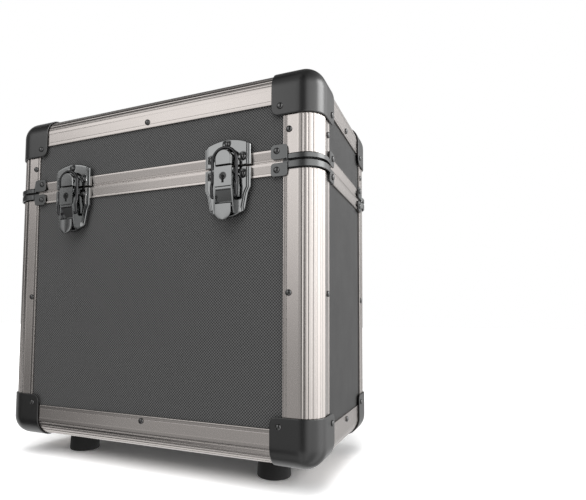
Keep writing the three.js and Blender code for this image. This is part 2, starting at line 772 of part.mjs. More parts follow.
// Leaf of a rear hinge, drawn above the seam with its reach out of the case along -Y
function hingeLeafSolid(band, knuckles, bored) {
  const half = hingeWidth / 2;
  const sunk = clearance - boardFace;
  const plateStart = hingeBarrelRadius + clearance * 2;
  const joggleStart = band + clearance;
  const joggleEnd = joggleStart + hingeJoggleRun;
  const leaf = sideDrawn([
    [clearance, plateStart], [clearance, joggleStart], [sunk, joggleEnd],
    [sunk, hingeLeafHeight], [sunk + hingeLeaf, hingeLeafHeight],
    [sunk + hingeLeaf, joggleEnd], [clearance + hingeLeaf, joggleStart],
    [clearance + hingeLeaf, plateStart],
  ], half);
  const face = solid(drawnBack(
    roundedRectangle(-half, -hingeCornerRadius * 2, half, hingeLeafHeight, hingeCornerRadius),
    -hingeAxisReach, boardFace));
  const pitch = hingeWidth / hingeKnuckles;
  let body = leaf.intersect(face);
  for (const knuckle of knuckles) {
    const from = -half + pitch * knuckle + (knuckle > 0 ? clearance / 2 : 0);
    const to = -half + pitch * (knuckle + 1) - (knuckle < hingeKnuckles - 1 ? clearance / 2 : 0);
    const barrel = rod(hingeBarrelRadius, from, to, roundSegments / 2).rotateZ(-Math.PI / 2);
    barrel.translate(0, -hingeAxisReach, 0);
    const neck = block(corner(from, -clearance - hingeLeaf, 0),
      corner(to, -clearance, plateStart + joinDepth));
    body = joined(body, solid(barrel), solid(neck));
  }
  const pinSize = bored ? hingePinRadius + clearance : hingePinRadius;
  const pinEnd = bored ? half + overrun : half;
  const pin = rod(pinSize, -pinEnd, pinEnd, roundSegments / 2).rotateZ(-Math.PI / 2);
  const core = solid(pin.translate(0, -hingeAxisReach, 0));
  return skin(bored ? body.subtract(core) : body.add(core));
}

// Bracket of the handle: a screwed plate with an ear that holds the end of the bow
function handleBracket() {
  const plate = roundedRectangle(
    -bracketEar, -bracketWidth / 2, bracketLength - bracketEar, bracketWidth / 2,
    bracketCornerRadius);
  const ear = new THREE.Shape();
  ear.moveTo(-handleEyeRadius, 0);
  ear.lineTo(handleEyeRadius, 0);
  ear.absarc(0, handleAxisHeight - clearance, handleEyeRadius, 0, Math.PI);
  const eye = rod(handleRodRadius + clearance, -bracketEar - overrun, overrun);
  eye.rotateZ(-Math.PI / 2).translate(0, 0, handleAxisHeight - clearance);
  const flat = solid(drawnUp(plate, 0, bracketPlate));
  const upright = solid(drawnAcross(ear, -bracketEar, 0, archSegments));
  return skin(flat.add(upright).subtract(solid(eye)));
}

// Bow of the handle, lying back on the lid, with its ends turned out through the brackets
function handleBow() {
  const half = handleSpan / 2;
  const stubEnd = half + handleBend + bracketEar + clearance * 2;
  const arm = (side) => [
    corner(side * stubEnd, 0, 0),
    corner(side * half, 0, 0),
    corner(side * half, handleDrop, 0),
  ];
  const points = [...arm(-1), ...arm(1).reverse()];
  return skin(solid(bentRod(points, handleBend, handleRodRadius, bowSides, bowSteps)));
}

// Moulded grip on the middle of the bow
function handleGrip() {
  const half = handleGripLength / 2;
  const bore = handleRodRadius + clearance;
  const outline = [
    [bore, -half], [handleGripRadius - handleGripEnd, -half],
    [handleGripRadius, handleGripEnd - half], [handleGripRadius, half - handleGripEnd],
    [handleGripRadius - handleGripEnd, half], [bore, half], [bore, -half],
  ];
  const points = outline.map(([x, y]) => new THREE.Vector2(x, y));
  const grip = new THREE.LatheGeometry(points, roundSegments).rotateZ(-Math.PI / 2);
  return skin(solid(grip)).translate(0, handleDrop, 0);
}

function latches() {
  const group = new THREE.Group();
  const drawings = {
    strike: [latchStrike(), steelFinish],
    base: [latchBase(), steelFinish],
    lever: [latchLever(), steelFinish],
    bail: [latchBail(), steelFinish],
    lock: [lockBarrel(), brassFinish],
  };
  for (const [name, side] of [['left', -1], ['right', 1]]) {
    for (const [piece, [geometry, finish]] of Object.entries(drawings)) {
      const mesh = named(`latch_${piece}_${name}`, geometry, finish);
      mesh.position.set(side * (halfWidth - latchInset), -halfDepth, seamHeight);
      group.add(mesh);
    }
  }
  return group;
}

function hinges() {
  const group = new THREE.Group();
  const all = Array.from({ length: hingeKnuckles }, (_, knuckle) => knuckle);
  const lidLeaf = hingeLeafSolid(lidBand, all.filter((knuckle) => knuckle % 2 === 1), true);
  const bodyLeaf = hingeLeafSolid(bodyBand, all.filter((knuckle) => knuckle % 2 === 0), false);
  // turned over about the reach out of the case, the same leaf hangs below the seam
  bodyLeaf.rotateY(Math.PI);
  for (const [name, side] of [['left', -1], ['right', 1]]) {
    for (const [half, geometry] of [['lid', lidLeaf], ['body', bodyLeaf]]) {
      const mesh = named(`hinge_${half}_leaf_${name}`, geometry, steelFinish);
      mesh.position.set(side * (halfWidth - hingeInset), halfDepth, seamHeight);
      mesh.rotation.z = Math.PI;
      group.add(mesh);
    }
  }
  return group;
}

function handle() {
  const group = new THREE.Group();
  const bracket = handleBracket();
  const inner = handleSpan / 2 + handleBend + bracketEar;
  for (const [name, side] of [['left', -1], ['right', 1]]) {
    const mesh = named(`handle_bracket_${name}`, bracket, steelFinish);
    mesh.position.set(side * inner, 0, clearance);
    if (side < 0) mesh.rotation.z = Math.PI;
    group.add(mesh);
  }
  const bow = named('handle_bow', handleBow(), steelFinish);
  const grip = named('handle_grip', handleGrip(), rubberFinish);
  bow.position.z = handleAxisHeight;
  grip.position.z = handleAxisHeight;
  group.add(bow, grip);
  group.position.z = caseTop - boardFace;
  return group;
}

function feet() {
  const group = new THREE.Group();
  const drawing = foot();
  for (const place of corners) {
    const mesh = named(`foot_${place.name}`, drawing, rubberFinish);
    mesh.position.x = place.x - Math.sign(place.x) * footInsetX;
    mesh.position.y = place.y - Math.sign(place.y) * footInsetY;
    group.add(mesh);
  }
  return group;
}

function edges() {
  const group = new THREE.Group();
  const bodyLength = bodyHeight - bodyRimCorner - clearance;
  const lidLength = lidHeight - lidRimCorner - clearance;
  group.add(atCorners('body_edge', uprightEdge(bodyLength), aluminiumFinish, floorToCase));
  group.add(atCorners('lid_edge', uprightEdge(lidLength), aluminiumFinish, caseTop, true));
  const frame = edgeFrame();
  const bottom = named('bottom_edge_frame', frame, aluminiumFinish);
  bottom.position.z = floorToCase;
  const top = named('lid_top_edge_frame', frame, aluminiumFinish);
  top.rotation.x = Math.PI;
  top.position.z = caseTop;
  const lower = named('body_rim', bodyRim(), aluminiumFinish);
  const upper = named('lid_rim', lidRim(), aluminiumFinish);
  lower.position.z = seamHeight;
  upper.position.z = seamHeight;
  group.add(bottom, top, lower, upper);
  return group;
}

function cornerGuards() {
  const group = new THREE.Group();
  const cap = cornerCap();
  group.add(atCorners('body_cap', cap, capFinish, floorToCase));
  group.add(atCorners('lid_cap', cap, capFinish, caseTop, true));
  const bodyClip = cornerClip(bodyClipStart, bodyClipTab, bodyStrapStart, bodyStrapEnd);
  const lidClip = cornerClip(lidClipStart, lidClipTab, lidStrapStart, lidStrapEnd);
  group.add(atCorners('body_clip', bodyClip, steelFinish, seamHeight, true));
  group.add(atCorners('lid_clip', lidClip, steelFinish, seamHeight));
  return group;
}

const recordCase = new THREE.Group();
recordCase.add(boards(), edges(), cornerGuards(), feet(), latches(), hinges(), handle());
// the latches stand out further than the hinges, so the middle of the whole lies off the case's
recordCase.position.y = (frontReach - backReach) / 2;

export default recordCase;
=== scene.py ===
# An upright record carrying case: laminated boards in ribbed aluminium edges, moulded corner
# caps, pressed corner clips, key latches, two hinges behind and a folding handle.
import math

import bmesh
import bpy
from mathutils import Matrix, Vector
from mathutils.geometry import tessellate_polygon


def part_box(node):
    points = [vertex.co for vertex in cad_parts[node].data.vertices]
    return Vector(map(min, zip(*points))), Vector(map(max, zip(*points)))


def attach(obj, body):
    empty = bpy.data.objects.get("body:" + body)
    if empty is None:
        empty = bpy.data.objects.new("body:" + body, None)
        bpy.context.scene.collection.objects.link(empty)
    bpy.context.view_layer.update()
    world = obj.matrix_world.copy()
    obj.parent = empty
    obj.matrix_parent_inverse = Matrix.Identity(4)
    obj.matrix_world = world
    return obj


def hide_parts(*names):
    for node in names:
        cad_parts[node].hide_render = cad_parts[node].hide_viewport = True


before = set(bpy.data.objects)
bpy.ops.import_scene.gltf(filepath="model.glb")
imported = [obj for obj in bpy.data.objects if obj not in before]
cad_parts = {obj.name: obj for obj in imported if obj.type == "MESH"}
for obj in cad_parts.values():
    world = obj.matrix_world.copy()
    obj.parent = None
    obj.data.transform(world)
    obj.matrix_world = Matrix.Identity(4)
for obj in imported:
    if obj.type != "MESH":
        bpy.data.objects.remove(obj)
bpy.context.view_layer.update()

# Every drawing below is in millimetres, and the frame is in metres
MM = 0.001

# A turned shape stays this far off its axis, so that no ring shrinks to a point
NEAR_AXIS = 0.01

# Edge extrusions
EDGE_RADIUS = 19
EDGE_FLANGE = 33.7
SKIN = 1.5
LIP = 1.3
LIP_REACH = 26
BOARD = 7
FIT = 0.3
CHANNEL_BACK = SKIN + BOARD + FIT * 2
LIP_BACK = CHANNEL_BACK + LIP
RIBS = 7
FLUTE_WIDTH = 1.9
FLUTE_DEPTH = 0.38
FLANGE_STEP = 0.18
STEP_FROM_ROUND = 1.4
SCRIBED_LINE = 3.8
SCRIBED_WIDTH = 0.35
SCRIBED_DEPTH = 0.15
ROLLED_EDGE = 0.5
MITRE_GAP = 0.12
END_INSET = EDGE_RADIUS - 1

# Rims at the seam, with heights away from the seam
BODY_BAND = 12.8
LID_BAND = 11.8
BAND_EDGE = 0.8
BODY_RIM_CORNER = 8
LID_RIM_CORNER = 6
RIM_WEB = 1.5
MOUTH = 0.15
TONGUE = 3.6
TONGUE_DEPTH = 3
TONGUE_EDGE = 0.4

# Corner caps
CAP_SPAN = 45
CAP_FACE = 1.7
CAP_WALL = 1.3
CAP_LOBE = 7
CAP_EDGE = 0.55
CAP_RIVET = 36.5

# Corner clips, and for each half where its tabs start and end, where its strap does, and its rivet
CLIP_INNER = 28
CLIP_OUTER = 45
CLIP_SHEET = 1.3
CLIP_TAB_FACE = 1.6
CLIP_STRAP_FACE = 2.7
CLIP_CORNER = 3
CLIP_RIVET_IN = 39.5
CLIP_HEIGHTS = {"body": (2, 14.3, 1.95, 7.35, 8.3), "lid": (1.4, 14.7, 0.6, 4.7, 9.2)}

# Rivet heads and where they stand on the flanges
RIVET_RADIUS = 2.9
RIVET_HEIGHT = 1.7
BODY_FLANGE_RIVET = 28.5
LID_FLANGE_RIVET = 27.5
UPRIGHT_RIVET_IN = 28.2
BODY_UPRIGHT_RIVET = 154
LID_UPRIGHT_RIVET = 301.5
LATCH_RIVET_RADIUS = 2.6

# Latches, with rise from the seam and reach out from the case
PLATE_HALF = 23.7
PLATE_REACH = 5.3
PLATE_EDGE_REACH = 4.4
PLATE_ROLL = 1.4
ROLL_GAPS = (0.9, 0.4, 0.12, 0)
BORDER = 3.8
STRIKE_START = 0.2
STRIKE_SHOULDER = 19.7
STRIKE_TOP = 25.5
BASE_START = 2.4
BASE_SHOULDER = 21
BASE_WAIST = 26.5
BASE_WAIST_HALF = 21
BASE_CORNER = 42
BASE_CORNER_HALF = 18
BASE_END = 48.4
CHANNEL_HALF = 9.4
CHANNEL_FLOOR = 1.2
CHANNEL_END = 38
DIMPLE_RADIUS = 4.1
DIMPLE_DEPTH = 1
DIMPLE_SLOPE = 1.2
LATCH_RIVET_X = 16.6
STRIKE_RIVET_RISE = 7.5
STRIKE_TOP_RIVET = 21.1
BASE_RIVET_DROP = 8.6
DOME_HALF = 8.5
DOME_START = -0.6
DOME_TOP = 14
DOME_REACH = 13.1
DOME_ROUND = 1.3
LEVER_HALF = 9.1
LEVER_TOP = 2.2
LEVER_CROWN = 4.3
LEVER_REACH = 13.2
LEVER_BACK = 3.4
LEVER_PIN_REACH = 10
LEVER_PIN_DROP = 5.8
LEVER_SHARES = (-1, -0.93, -0.8, -0.6, -0.4, -0.2, 0, 0.2, 0.4, 0.6, 0.8, 0.93, 1)
LOCK_BOX_END = 20.6
LOCK_BOX_STEP = 1.6
SCOOP_START = LOCK_BOX_END + 0.9
SCOOP_LIP = 2
SCOOP_END = 37
SCOOP_FLOOR = 6.3
SCOOP_TURN = 40.5
CHEEK = 1.4
CHEEK_FLARE = 1.2
CHEEK_FLARE_RUN = 16
CHEEK_REACH = 12.4
TAB_HALF = 8.2
TAB_REACH = 12.55
TAB_CROWN = 0.35
TAB_FLARE = 0.1
TAB_THICKNESS = 1.6
TAB_END = 51.8
WIRE = 1.5
BAIL_BEND = 1.6
BAIL_HALF = 12.5
BAIL_REACH = 9.9
BAIL_KINK = 16
BAIL_KINK_RUN = 4
BAIL_PIVOT_REACH = 10.3
BAIL_PIVOT_DROP = 30
BAIL_TOP = 16.2
BARREL_RADIUS = 3.4
BARREL_DROP = 11.3
BARREL_DEPTH = 4.5
BARREL_GROOVE = 0.6
RING_EDGE = 0.25
KEY_HOLE = 1.7
KEY_POST = 0.7
KEY_POST_DEPTH = 3
KEY_SLOT = 2.2
KEY_SLOT_DROP = 6.2
EAR_HALF = 3
EAR_SHEET = 1.2
PIN_RADIUS = 1.2
PIN_HALF = 10.4

# Handle, its brackets and the hinges
HANDLE_ROD = 4
HANDLE_BEND = 14
HANDLE_STUB = 3.6
HANDLE_DROP = 52
GRIP_RADIUS = 10.5
GRIP_ROUND = 5
GRIP_PLAIN_END = 9
GRIP_RIBS = 17
GRIP_GROOVE = 0.5
BRACKET_PLATE = 2
BRACKET_RIVET_IN = 9.5
HINGE_RIVET_IN = 9
# radius and height of the heads
BRACKET_RIVET = (3.4, 1.6)
HINGE_RIVET = (3.1, 1.5)
PACKED_EDGE = 0.35

# Feet
FOOT_RADIUS = 17
FOOT_TOP_RADIUS = 15.5
FOOT_EDGE = 2
FOOT_BORE = 6
FOOT_BORE_DEPTH = 9
FOOT_SCREW = ((NEAR_AXIS, 6.2), (2.2, 6.2), (3.6, 7.2), (4.4, 9), (NEAR_AXIS, 9))

# Studio: levels of light, and the sizes in metres of the floor and of the dome
WORLD_LEVEL = 0.36
PAPER_LEVEL = 1.4
FLOOR_REACH = 12
DOME_DISTANCE = 4

# Camera, fitted to the photograph's edges: angles in radians, and lengths in the image in pixels
CAMERA_YAW = -0.4171
CAMERA_PITCH = 0.0595
CAMERA_ROLL = 0.0086
CAMERA_IN = 481
CAMERA_BEFORE = 400.8
CAMERA_ABOVE = 129
FOCAL_LENGTH = 482.87
VANISHING_X = 252.64
VANISHING_Y = 291.93
IMAGE_WIDTH = 586
IMAGE_HEIGHT = 500
SENSOR_WIDTH = 36


def millimetres(corner):
    return Vector(corner) / MM


# The case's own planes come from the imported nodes
rim_low, rim_high = map(millimetres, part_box("body_rim"))
LEFT, FRONT = rim_low.x, rim_low.y
RIGHT, BACK = rim_high.x, rim_high.y
SEAM = rim_high.z + MOUTH
BOTTOM = millimetres(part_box("bottom_edge_frame")[0]).z
TOP = millimetres(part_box("lid_top_edge_frame")[1]).z
MIDDLE = (FRONT + BACK) / 2
WIDTH = RIGHT - LEFT
DEPTH = BACK - FRONT


# Colours and materials
def linear(code):
    """An sRGB hex colour as linear light, with full alpha."""
    channels = [int(code[at:at + 2], 16) / 255 for at in (1, 3, 5)]
    return tuple(c / 12.92 if c <= 0.04045 else ((c + 0.055) / 1.055) ** 2.4 for c in channels) + (1,)


def add(tree, kind, inputs=None, output=0, **settings):
    """A node with its settings, each input set to a value or linked from an output. Returns the
    output asked for, or the node where it has none."""
    made = tree.nodes.new("ShaderNode" + kind)
    for name, value in settings.items():
        setattr(made, name, value)
    for name, value in (inputs or {}).items():
        if isinstance(value, bpy.types.NodeSocket):
            tree.links.new(value, made.inputs[name])
        else:
            made.inputs[name].default_value = value
    return made.outputs[output] if made.outputs else made


def material(name, **constants):
    """A named material, its node tree and its shader, whose constant inputs are set here."""
    made = bpy.data.materials.new(name)
    made.use_nodes = True
    shader = made.node_tree.nodes["Principled BSDF"]
    for socket, value in constants.items():
        shader.inputs[socket.replace("_", " ")].default_value = value
    return made, made.node_tree, shader


def surface(tree, shader, tone, gloss, height, strength, depth):
    """Joins a tone, a roughness and a relief of some depth to the shader."""
    relief = add(tree, "Bump", {"Height": height, "Strength": strength, "Distance": depth * MM})
    for name, output in (("Base Color", tone), ("Roughness", gloss), ("Normal", relief)):
        tree.links.new(output, shader.inputs[name])


def anodised_extrusion(run):
    """Aluminium pushed through a die and anodised a warm champagne: satin, with fine die lines
    along the length and a slow cloudiness from the bath."""
    made, tree, shader = material(f"anodised_aluminium_extruded_along_{run}", Metallic=1)
    place = add(tree, "TexCoord", output="Object")
    # real die lines are too fine to show and are drawn about 2 mm apart
    across = 1 / (2 * MM)
    along = across / 120
    stretch = [along if axis == run else across for axis in "xyz"]
    lines = add(tree, "Mapping", {"Vector": place, "Scale": stretch})
    die = add(tree, "TexNoise", {"Vector": lines, "Scale": 1, "Detail": 3, "Roughness": 0.6})
    cloud = add(tree, "TexNoise", {"Vector": place, "Scale": 1 / (60 * MM), "Detail": 2})
    tone = add(tree, "Mix", {0: cloud, 6: linear("#cdc7c3"), 7: linear("#c5beba")}, 2, data_type="RGBA")
    gloss = add(tree, "MapRange", {"Value": die, "To Min": 0.21, "To Max": 0.26})
    surface(tree, shader, tone, gloss, die, 0.05, 0.02)
    return made


def embossed_laminate(way, first, second, facing, middle, outer, dark, light):
    """Plywood faced with a dark grey ABS sheet that was embossed by a roller: a close lattice of
    raised diamonds whose glint is painted as a lighter tone on their tops, with cut edges and a
    plain black sheet on the inner face."""
    made, tree, shader = material(f"abs_laminate_embossed_painted_glint_{way}", IOR=1.53)
    place = add(tree, "TexCoord", output="Object")
    parts = add(tree, "SeparateXYZ", {0: place}).node.outputs
    # diamonds of 1.4 mm set 2 mm apart are drawn at 2.8 mm, as coarse as they need to show
    turns = 2 * math.pi / (2.8 * MM / math.sqrt(2))
    waves = []
    for lean in (math.pi / 4, -math.pi / 4):
        rows = add(tree, "Math", {0: parts[first], 1: turns * math.sin(lean)}, operation="MULTIPLY")
        files = add(tree, "Math", {0: parts[second], 1: turns * math.cos(lean), 2: rows},
                    operation="MULTIPLY_ADD")
        waves.append(add(tree, "Math", {0: files}, operation="COSINE"))
    dots = add(tree, "Math", {0: waves[0], 1: waves[1]}, operation="ADD")
    height = add(tree, "MapRange", {"Value": dots, "From Min": -1.4, "From Max": 1.4})
    fibre = add(tree, "TexNoise", {"Vector": place, "Scale": 1 / (4 * MM), "Detail": 4})
    scuff = add(tree, "TexNoise", {"Vector": place, "Scale": 1 / (45 * MM), "Detail": 5})
    # painted glint: the raised tops of the diamonds take the lighter tone, standing for light that catches
    # them
    face = add(tree, "Mix", {0: height, 6: linear(dark), 7: linear(light)}, 2, data_type="RGBA")
    # the outer sheet starts this far from the middle of the case
    away = add(tree, "Math", {0: parts[facing], 1: middle * MM}, operation="SUBTRACT")
    far = add(tree, "Math", {0: away}, operation="ABSOLUTE")
    outside = add(tree, "Math", {0: far, 1: outer * MM}, operation="GREATER_THAN")
    tone = add(tree, "Mix", {0: outside, 6: linear("#1d1d1e"), 7: face}, 2, data_type="RGBA")
    gloss = add(tree, "MapRange", {"Value": scuff, "To Min": 0.42, "To Max": 0.62})
    raised = add(tree, "Math", {0: height, 1: outside}, operation="MULTIPLY")
    grain = add(tree, "Math", {0: fibre, 1: 0.25, 2: raised}, operation="MULTIPLY_ADD")
    surface(tree, shader, tone, gloss, grain, 0.6, 0.2)
    return made


def satin(name, dark, light, grain_size, grain_depth, roughness, **constants):
    """Shared weave of the smooth finishes below: a tone that drifts, a fine grain from the tool,
    the spray or the die, and a gloss that drifts with the tone."""
    made, tree, shader = material(name, **constants)
    place = add(tree, "TexCoord", output="Object")
    grain = add(tree, "TexNoise", {
        "Vector": place, "Scale": 1 / (grain_size * MM), "Detail": 4, "Roughness": 0.6})
    drift = add(tree, "TexNoise", {"Vector": place, "Scale": 1 / (28 * MM), "Detail": 3})
    tone = add(tree, "Mix", {0: drift, 6: linear(dark), 7: linear(light)}, 2, data_type="RGBA")
    gloss = add(tree, "MapRange", {"Value": drift, "To Min": roughness[0], "To Max": roughness[1]})
    surface(tree, shader, tone, gloss, grain, 0.5, grain_depth)
    return made


aluminium = {run: anodised_extrusion(run) for run in "xyz"}
# dark grey laminate with a painted glint, lighter where the diamonds stand up, for each way that a board can
# face
laminates = {}
for way, first, second, facing, middle, half, light in (
        ("front", "X", "Z", "Y", MIDDLE, DEPTH / 2, "#606060"),
        # the side boards take a darker tone on their diamonds: painted shade, a shaded copy of the same
        # laminate
        ("side", "Y", "Z", "X", 0, WIDTH / 2, "#3e3e3e"),
        ("flat", "X", "Y", "Z", (BOTTOM + TOP) / 2, (TOP - BOTTOM) / 2, "#606060")):
    outer = half - SKIN - BOARD / 2
    laminates[way] = embossed_laminate(way, first, second, facing, middle, outer, "#101010", light)
# ABS moulded in a spark-eroded tool: satin black with a faint orange peel
cap_abs = satin("abs_moulded_black", "#0a0a0a", "#101010", 0.7, 0.02, (0.3, 0.38), IOR=1.55,
                Specular_IOR_Level=0, Coat_Weight=1, Coat_Roughness=0.28, Coat_IOR=1.8)
# steel pressed from sheet and plated in black nickel: neutral dark mirror, a little soft
black_nickel = satin("steel_pressed_black_nickel", "#8a8b8b", "#989999", 0.9, 0.015, (0.1, 0.16),
                     Metallic=1)
# pressed sheet steel, a softer copy of the black nickel whose darker tone is painted shade
darker_nickel_painted_shade = satin("steel_pressed_black_nickel_painted_darker", "#686969", "#747575", 0.9, 0.02, (0.24, 0.34),
                     Metallic=1)
# spring wire plated black and drawn smooth: dark, with one thin bright line along it
plated_wire = satin("steel_wire_drawn_black_plated", "#474748", "#515152", 1.4, 0.01, (0.08, 0.12),
                    Metallic=1)
# steel rivets set cold and plated black after: a mirror-like dark dome with a small hard highlight
rivet_steel = satin("steel_rivet_black_plated", "#606060", "#6a6a6a", 1.4, 0.01, (0.1, 0.16),
                    Metallic=1)
# zinc die casting turned at the face and blackened, for the lock barrel: dull rings of light
barrel_zinc = satin("zinc_die_cast_blackened", "#363636", "#424242", 0.6, 0.02, (0.2, 0.3), Metallic=1)
# painted shade: near-black solids in the keyhole and in the groove round the barrel, where the hole and the
# gap would be dark; almost no light comes back from them
keyhole_painted_shade = satin("keyhole_and_groove_painted_shade", "#050505", "#090909", 0.9, 0.02, (0.6, 0.75), IOR=1.45)
# steel rod and bracket under black powder coat: fine sprayed orange peel
powder_coat = satin("steel_powder_coated", "#141415", "#1d1d1e", 1.1, 0.05, (0.35, 0.5), IOR=1.5)
# natural rubber pressed in a mould: matt, dusty black
foot_rubber = satin("rubber_pressed_matt", "#101010", "#1b1b1b", 0.8, 0.06, (0.72, 0.88), IOR=1.52)
# thermoplastic rubber moulded over the rod: matt with a soft grip grain
grip_rubber = satin("rubber_overmoulded_grip", "#121212", "#1c1c1c", 1.3, 0.12, (0.6, 0.75), IOR=1.5)


# Shapes, each a pair of lists: points in millimetres and faces
def between(stops, at):
    """A value read off a row of (place, value) stops, straight from one to the next."""
    for (near, low), (far, high) in zip(stops, stops[1:]):
        if at <= far:
            return low + (high - low) * max(0, at - near) / (far - near)
    return stops[-1][1]


def angles(steps, sweep=math.pi / 2, start=0):
    """Angles from the start over the sweep, both ends included."""
    return [start + sweep * step / steps for step in range(steps + 1)]


def merged(*shapes):
    points, faces = [], []
    for more_points, more_faces in shapes:
        start = len(points)
        points += more_points
        faces += [tuple(start + at for at in face) for face in more_faces]
    return points, faces


def moved(shape, matrix):
    return [matrix @ Vector(point) for point in shape[0]], shape[1]


def lofted(rings, closed_ends=True):
    """Quads between rings of equal count, with the ends closed by one face each."""
    count = len(rings[0])
    points = [Vector(point) for ring in rings for point in ring]
    faces = []
    for start in range(0, (len(rings) - 1) * count, count):
        for at in range(count):
            here, after = start + at, start + (at + 1) % count
            faces.append((here, after, after + count, here + count))
    if closed_ends:
        faces.append(tuple(range(count))[::-1])
        faces.append(tuple((len(rings) - 1) * count + at for at in range(count)))
    return points, faces


def prism(outline, low, high, place):
    """An outline between two heights, each point put in space by place(a, b, height). Either height
    may be a function of the outline's point."""
    ends = []
    for level in (low, high):
        ends.append([place(a, b, level(a, b) if callable(level) else level) for a, b in outline])
    points, sides = lofted(ends, closed_ends=False)
    caps = tessellate_polygon([[Vector((a, b, 0)) for a, b in outline]])
    count = len(outline)
    ends = [tuple(cap) for cap in caps] + [tuple(at + count for at in cap)[::-1] for cap in caps]
    return points, sides + ends


def lathed(profile, segments=32, closed_ends=True):
    """A profile of (radius, height) turned round Z."""
    rings = [[(radius * math.cos(turn), radius * math.sin(turn), height)
              for turn in angles(segments, 2 * math.pi)[:-1]] for radius, height in profile]
    return lofted(rings, closed_ends)


def tube(path, radius, sides=14):
    """A round rod along a path, its section carried along without twist."""
    path = [Vector(point) for point in path]
    rings = []
    side = None
    for at, point in enumerate(path):
        ahead = (path[min(at + 1, len(path) - 1)] - path[max(at - 1, 0)]).normalized()
        if side is None:
            side = ahead.orthogonal().normalized()
        side = (side - ahead * side.dot(ahead)).normalized()
        other = ahead.cross(side)
        rings.append([point + radius * (math.cos(turn) * side + math.sin(turn) * other)
                      for turn in angles(sides, 2 * math.pi)[:-1]])
    return lofted(rings)


def softened(points, bend, steps=6):
    """A path through corners, each rounded off over the bend."""
    points = [Vector(point) for point in points]
    path = [points[0]]
    for before, knee, after in zip(points, points[1:], points[2:]):
        start = knee + (before - knee).normalized() * bend
        end = knee + (after - knee).normalized() * bend
        for step in range(steps + 1):
            share = step / steps
            path.append(start * (1 - share) ** 2 + knee * 2 * share * (1 - share) + end * share ** 2)
    return path + [points[-1]]


def slab(rows, front, back, place):
    """A closed pressing: rows of (u, w) points, with a front and a back reach at each."""
    high, wide = len(rows), len(rows[0])
    points = [place(u, w, reach(u, w)) for reach in (front, back) for row in rows for u, w in row]
    behind = high * wide
    faces = []
    for row in range(high - 1):
        for a in range(row * wide, row * wide + wide - 1):
            quad = (a, a + 1, a + wide + 1, a + wide)
            faces += [quad, tuple(behind + corner for corner in quad)[::-1]]
    border = list(range(wide))
    border += [row * wide + wide - 1 for row in range(1, high)]
    border += [(high - 1) * wide + at for at in range(wide - 2, -1, -1)]
    border += [row * wide for row in range(high - 2, 0, -1)]
    for here, after in zip(border, border[1:] + border[:1]):
        faces.append((here, behind + here, behind + after, after))
    return points, faces


def eased(piece, width, angle, segments=2):
    """Rounds the edges of a piece that are sharper than the angle."""
    bevel = piece.modifiers.new("eased edges", "BEVEL")
    bevel.width = width * MM
    bevel.segments = segments
    bevel.limit_method = "ANGLE"
    bevel.angle_limit = math.radians(angle)
    bevel.harden_normals = True


def finished(name, shape, finish, body, slot, nodes=(), bevel=0, crease=35):
    """A piece from its shape: clean mesh, smooth over shallow angles, edges eased by the bevel."""
    mesh = bpy.data.meshes.new(name)
    mesh.from_pydata([tuple(Vector(point) * MM) for point in shape[0]], [], shape[1])
    work = bmesh.new()
    work.from_mesh(mesh)
    bmesh.ops.remove_doubles(work, verts=work.verts, dist=0.004 * MM)
    bmesh.ops.dissolve_degenerate(work, edges=work.edges, dist=0.001 * MM)
    bmesh.ops.recalc_face_normals(work, faces=work.faces)
    for face in work.faces:
        face.smooth = True
    for edge in work.edges:
        edge.smooth = edge.calc_face_angle(0) < math.radians(crease)
    work.to_mesh(mesh)
    work.free()
    mesh.materials.append(finish)
    piece = bpy.data.objects.new(name, mesh)
    bpy.context.scene.collection.objects.link(piece)
    if bevel:
        eased(piece, bevel, crease)
    else:
        shaded = piece.modifiers.new("shading by face size", "WEIGHTED_NORMAL")
        shaded.keep_sharp = True
    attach(piece, body)
    if nodes:
        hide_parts(*nodes)
    return piece


def dressed(node, finish):
    """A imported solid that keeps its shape, with its finish."""
    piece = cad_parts[node]
    piece.data.materials.clear()
    piece.data.materials.append(finish)
    return piece


# The four corners in turn, each a quarter turn on from the one before
CORNERS = {
    "front_left": (LEFT, FRONT), "front_right": (RIGHT, FRONT),
    "back_right": (RIGHT, BACK), "back_left": (LEFT, BACK),
}
# The side that starts at each corner: its name, its length and the way it runs
SIDES = (("front", WIDTH, "x"), ("right", DEPTH, "y"), ("back", WIDTH, "x"), ("left", DEPTH, "y"))
HALVES = {"body": "case_body", "lid": "lid"}


def corner_place(turns, height, mirrored):
    """From a drawing that opens towards +X, +Y and +Z at a corner to the case."""
    x, y = list(CORNERS.values())[turns]
    return (Matrix.Translation((x, y, height)) @ Matrix.Rotation(turns * math.pi / 2, 4, "Z")
            @ Matrix.Diagonal((1, 1, -1 if mirrored else 1, 1)))


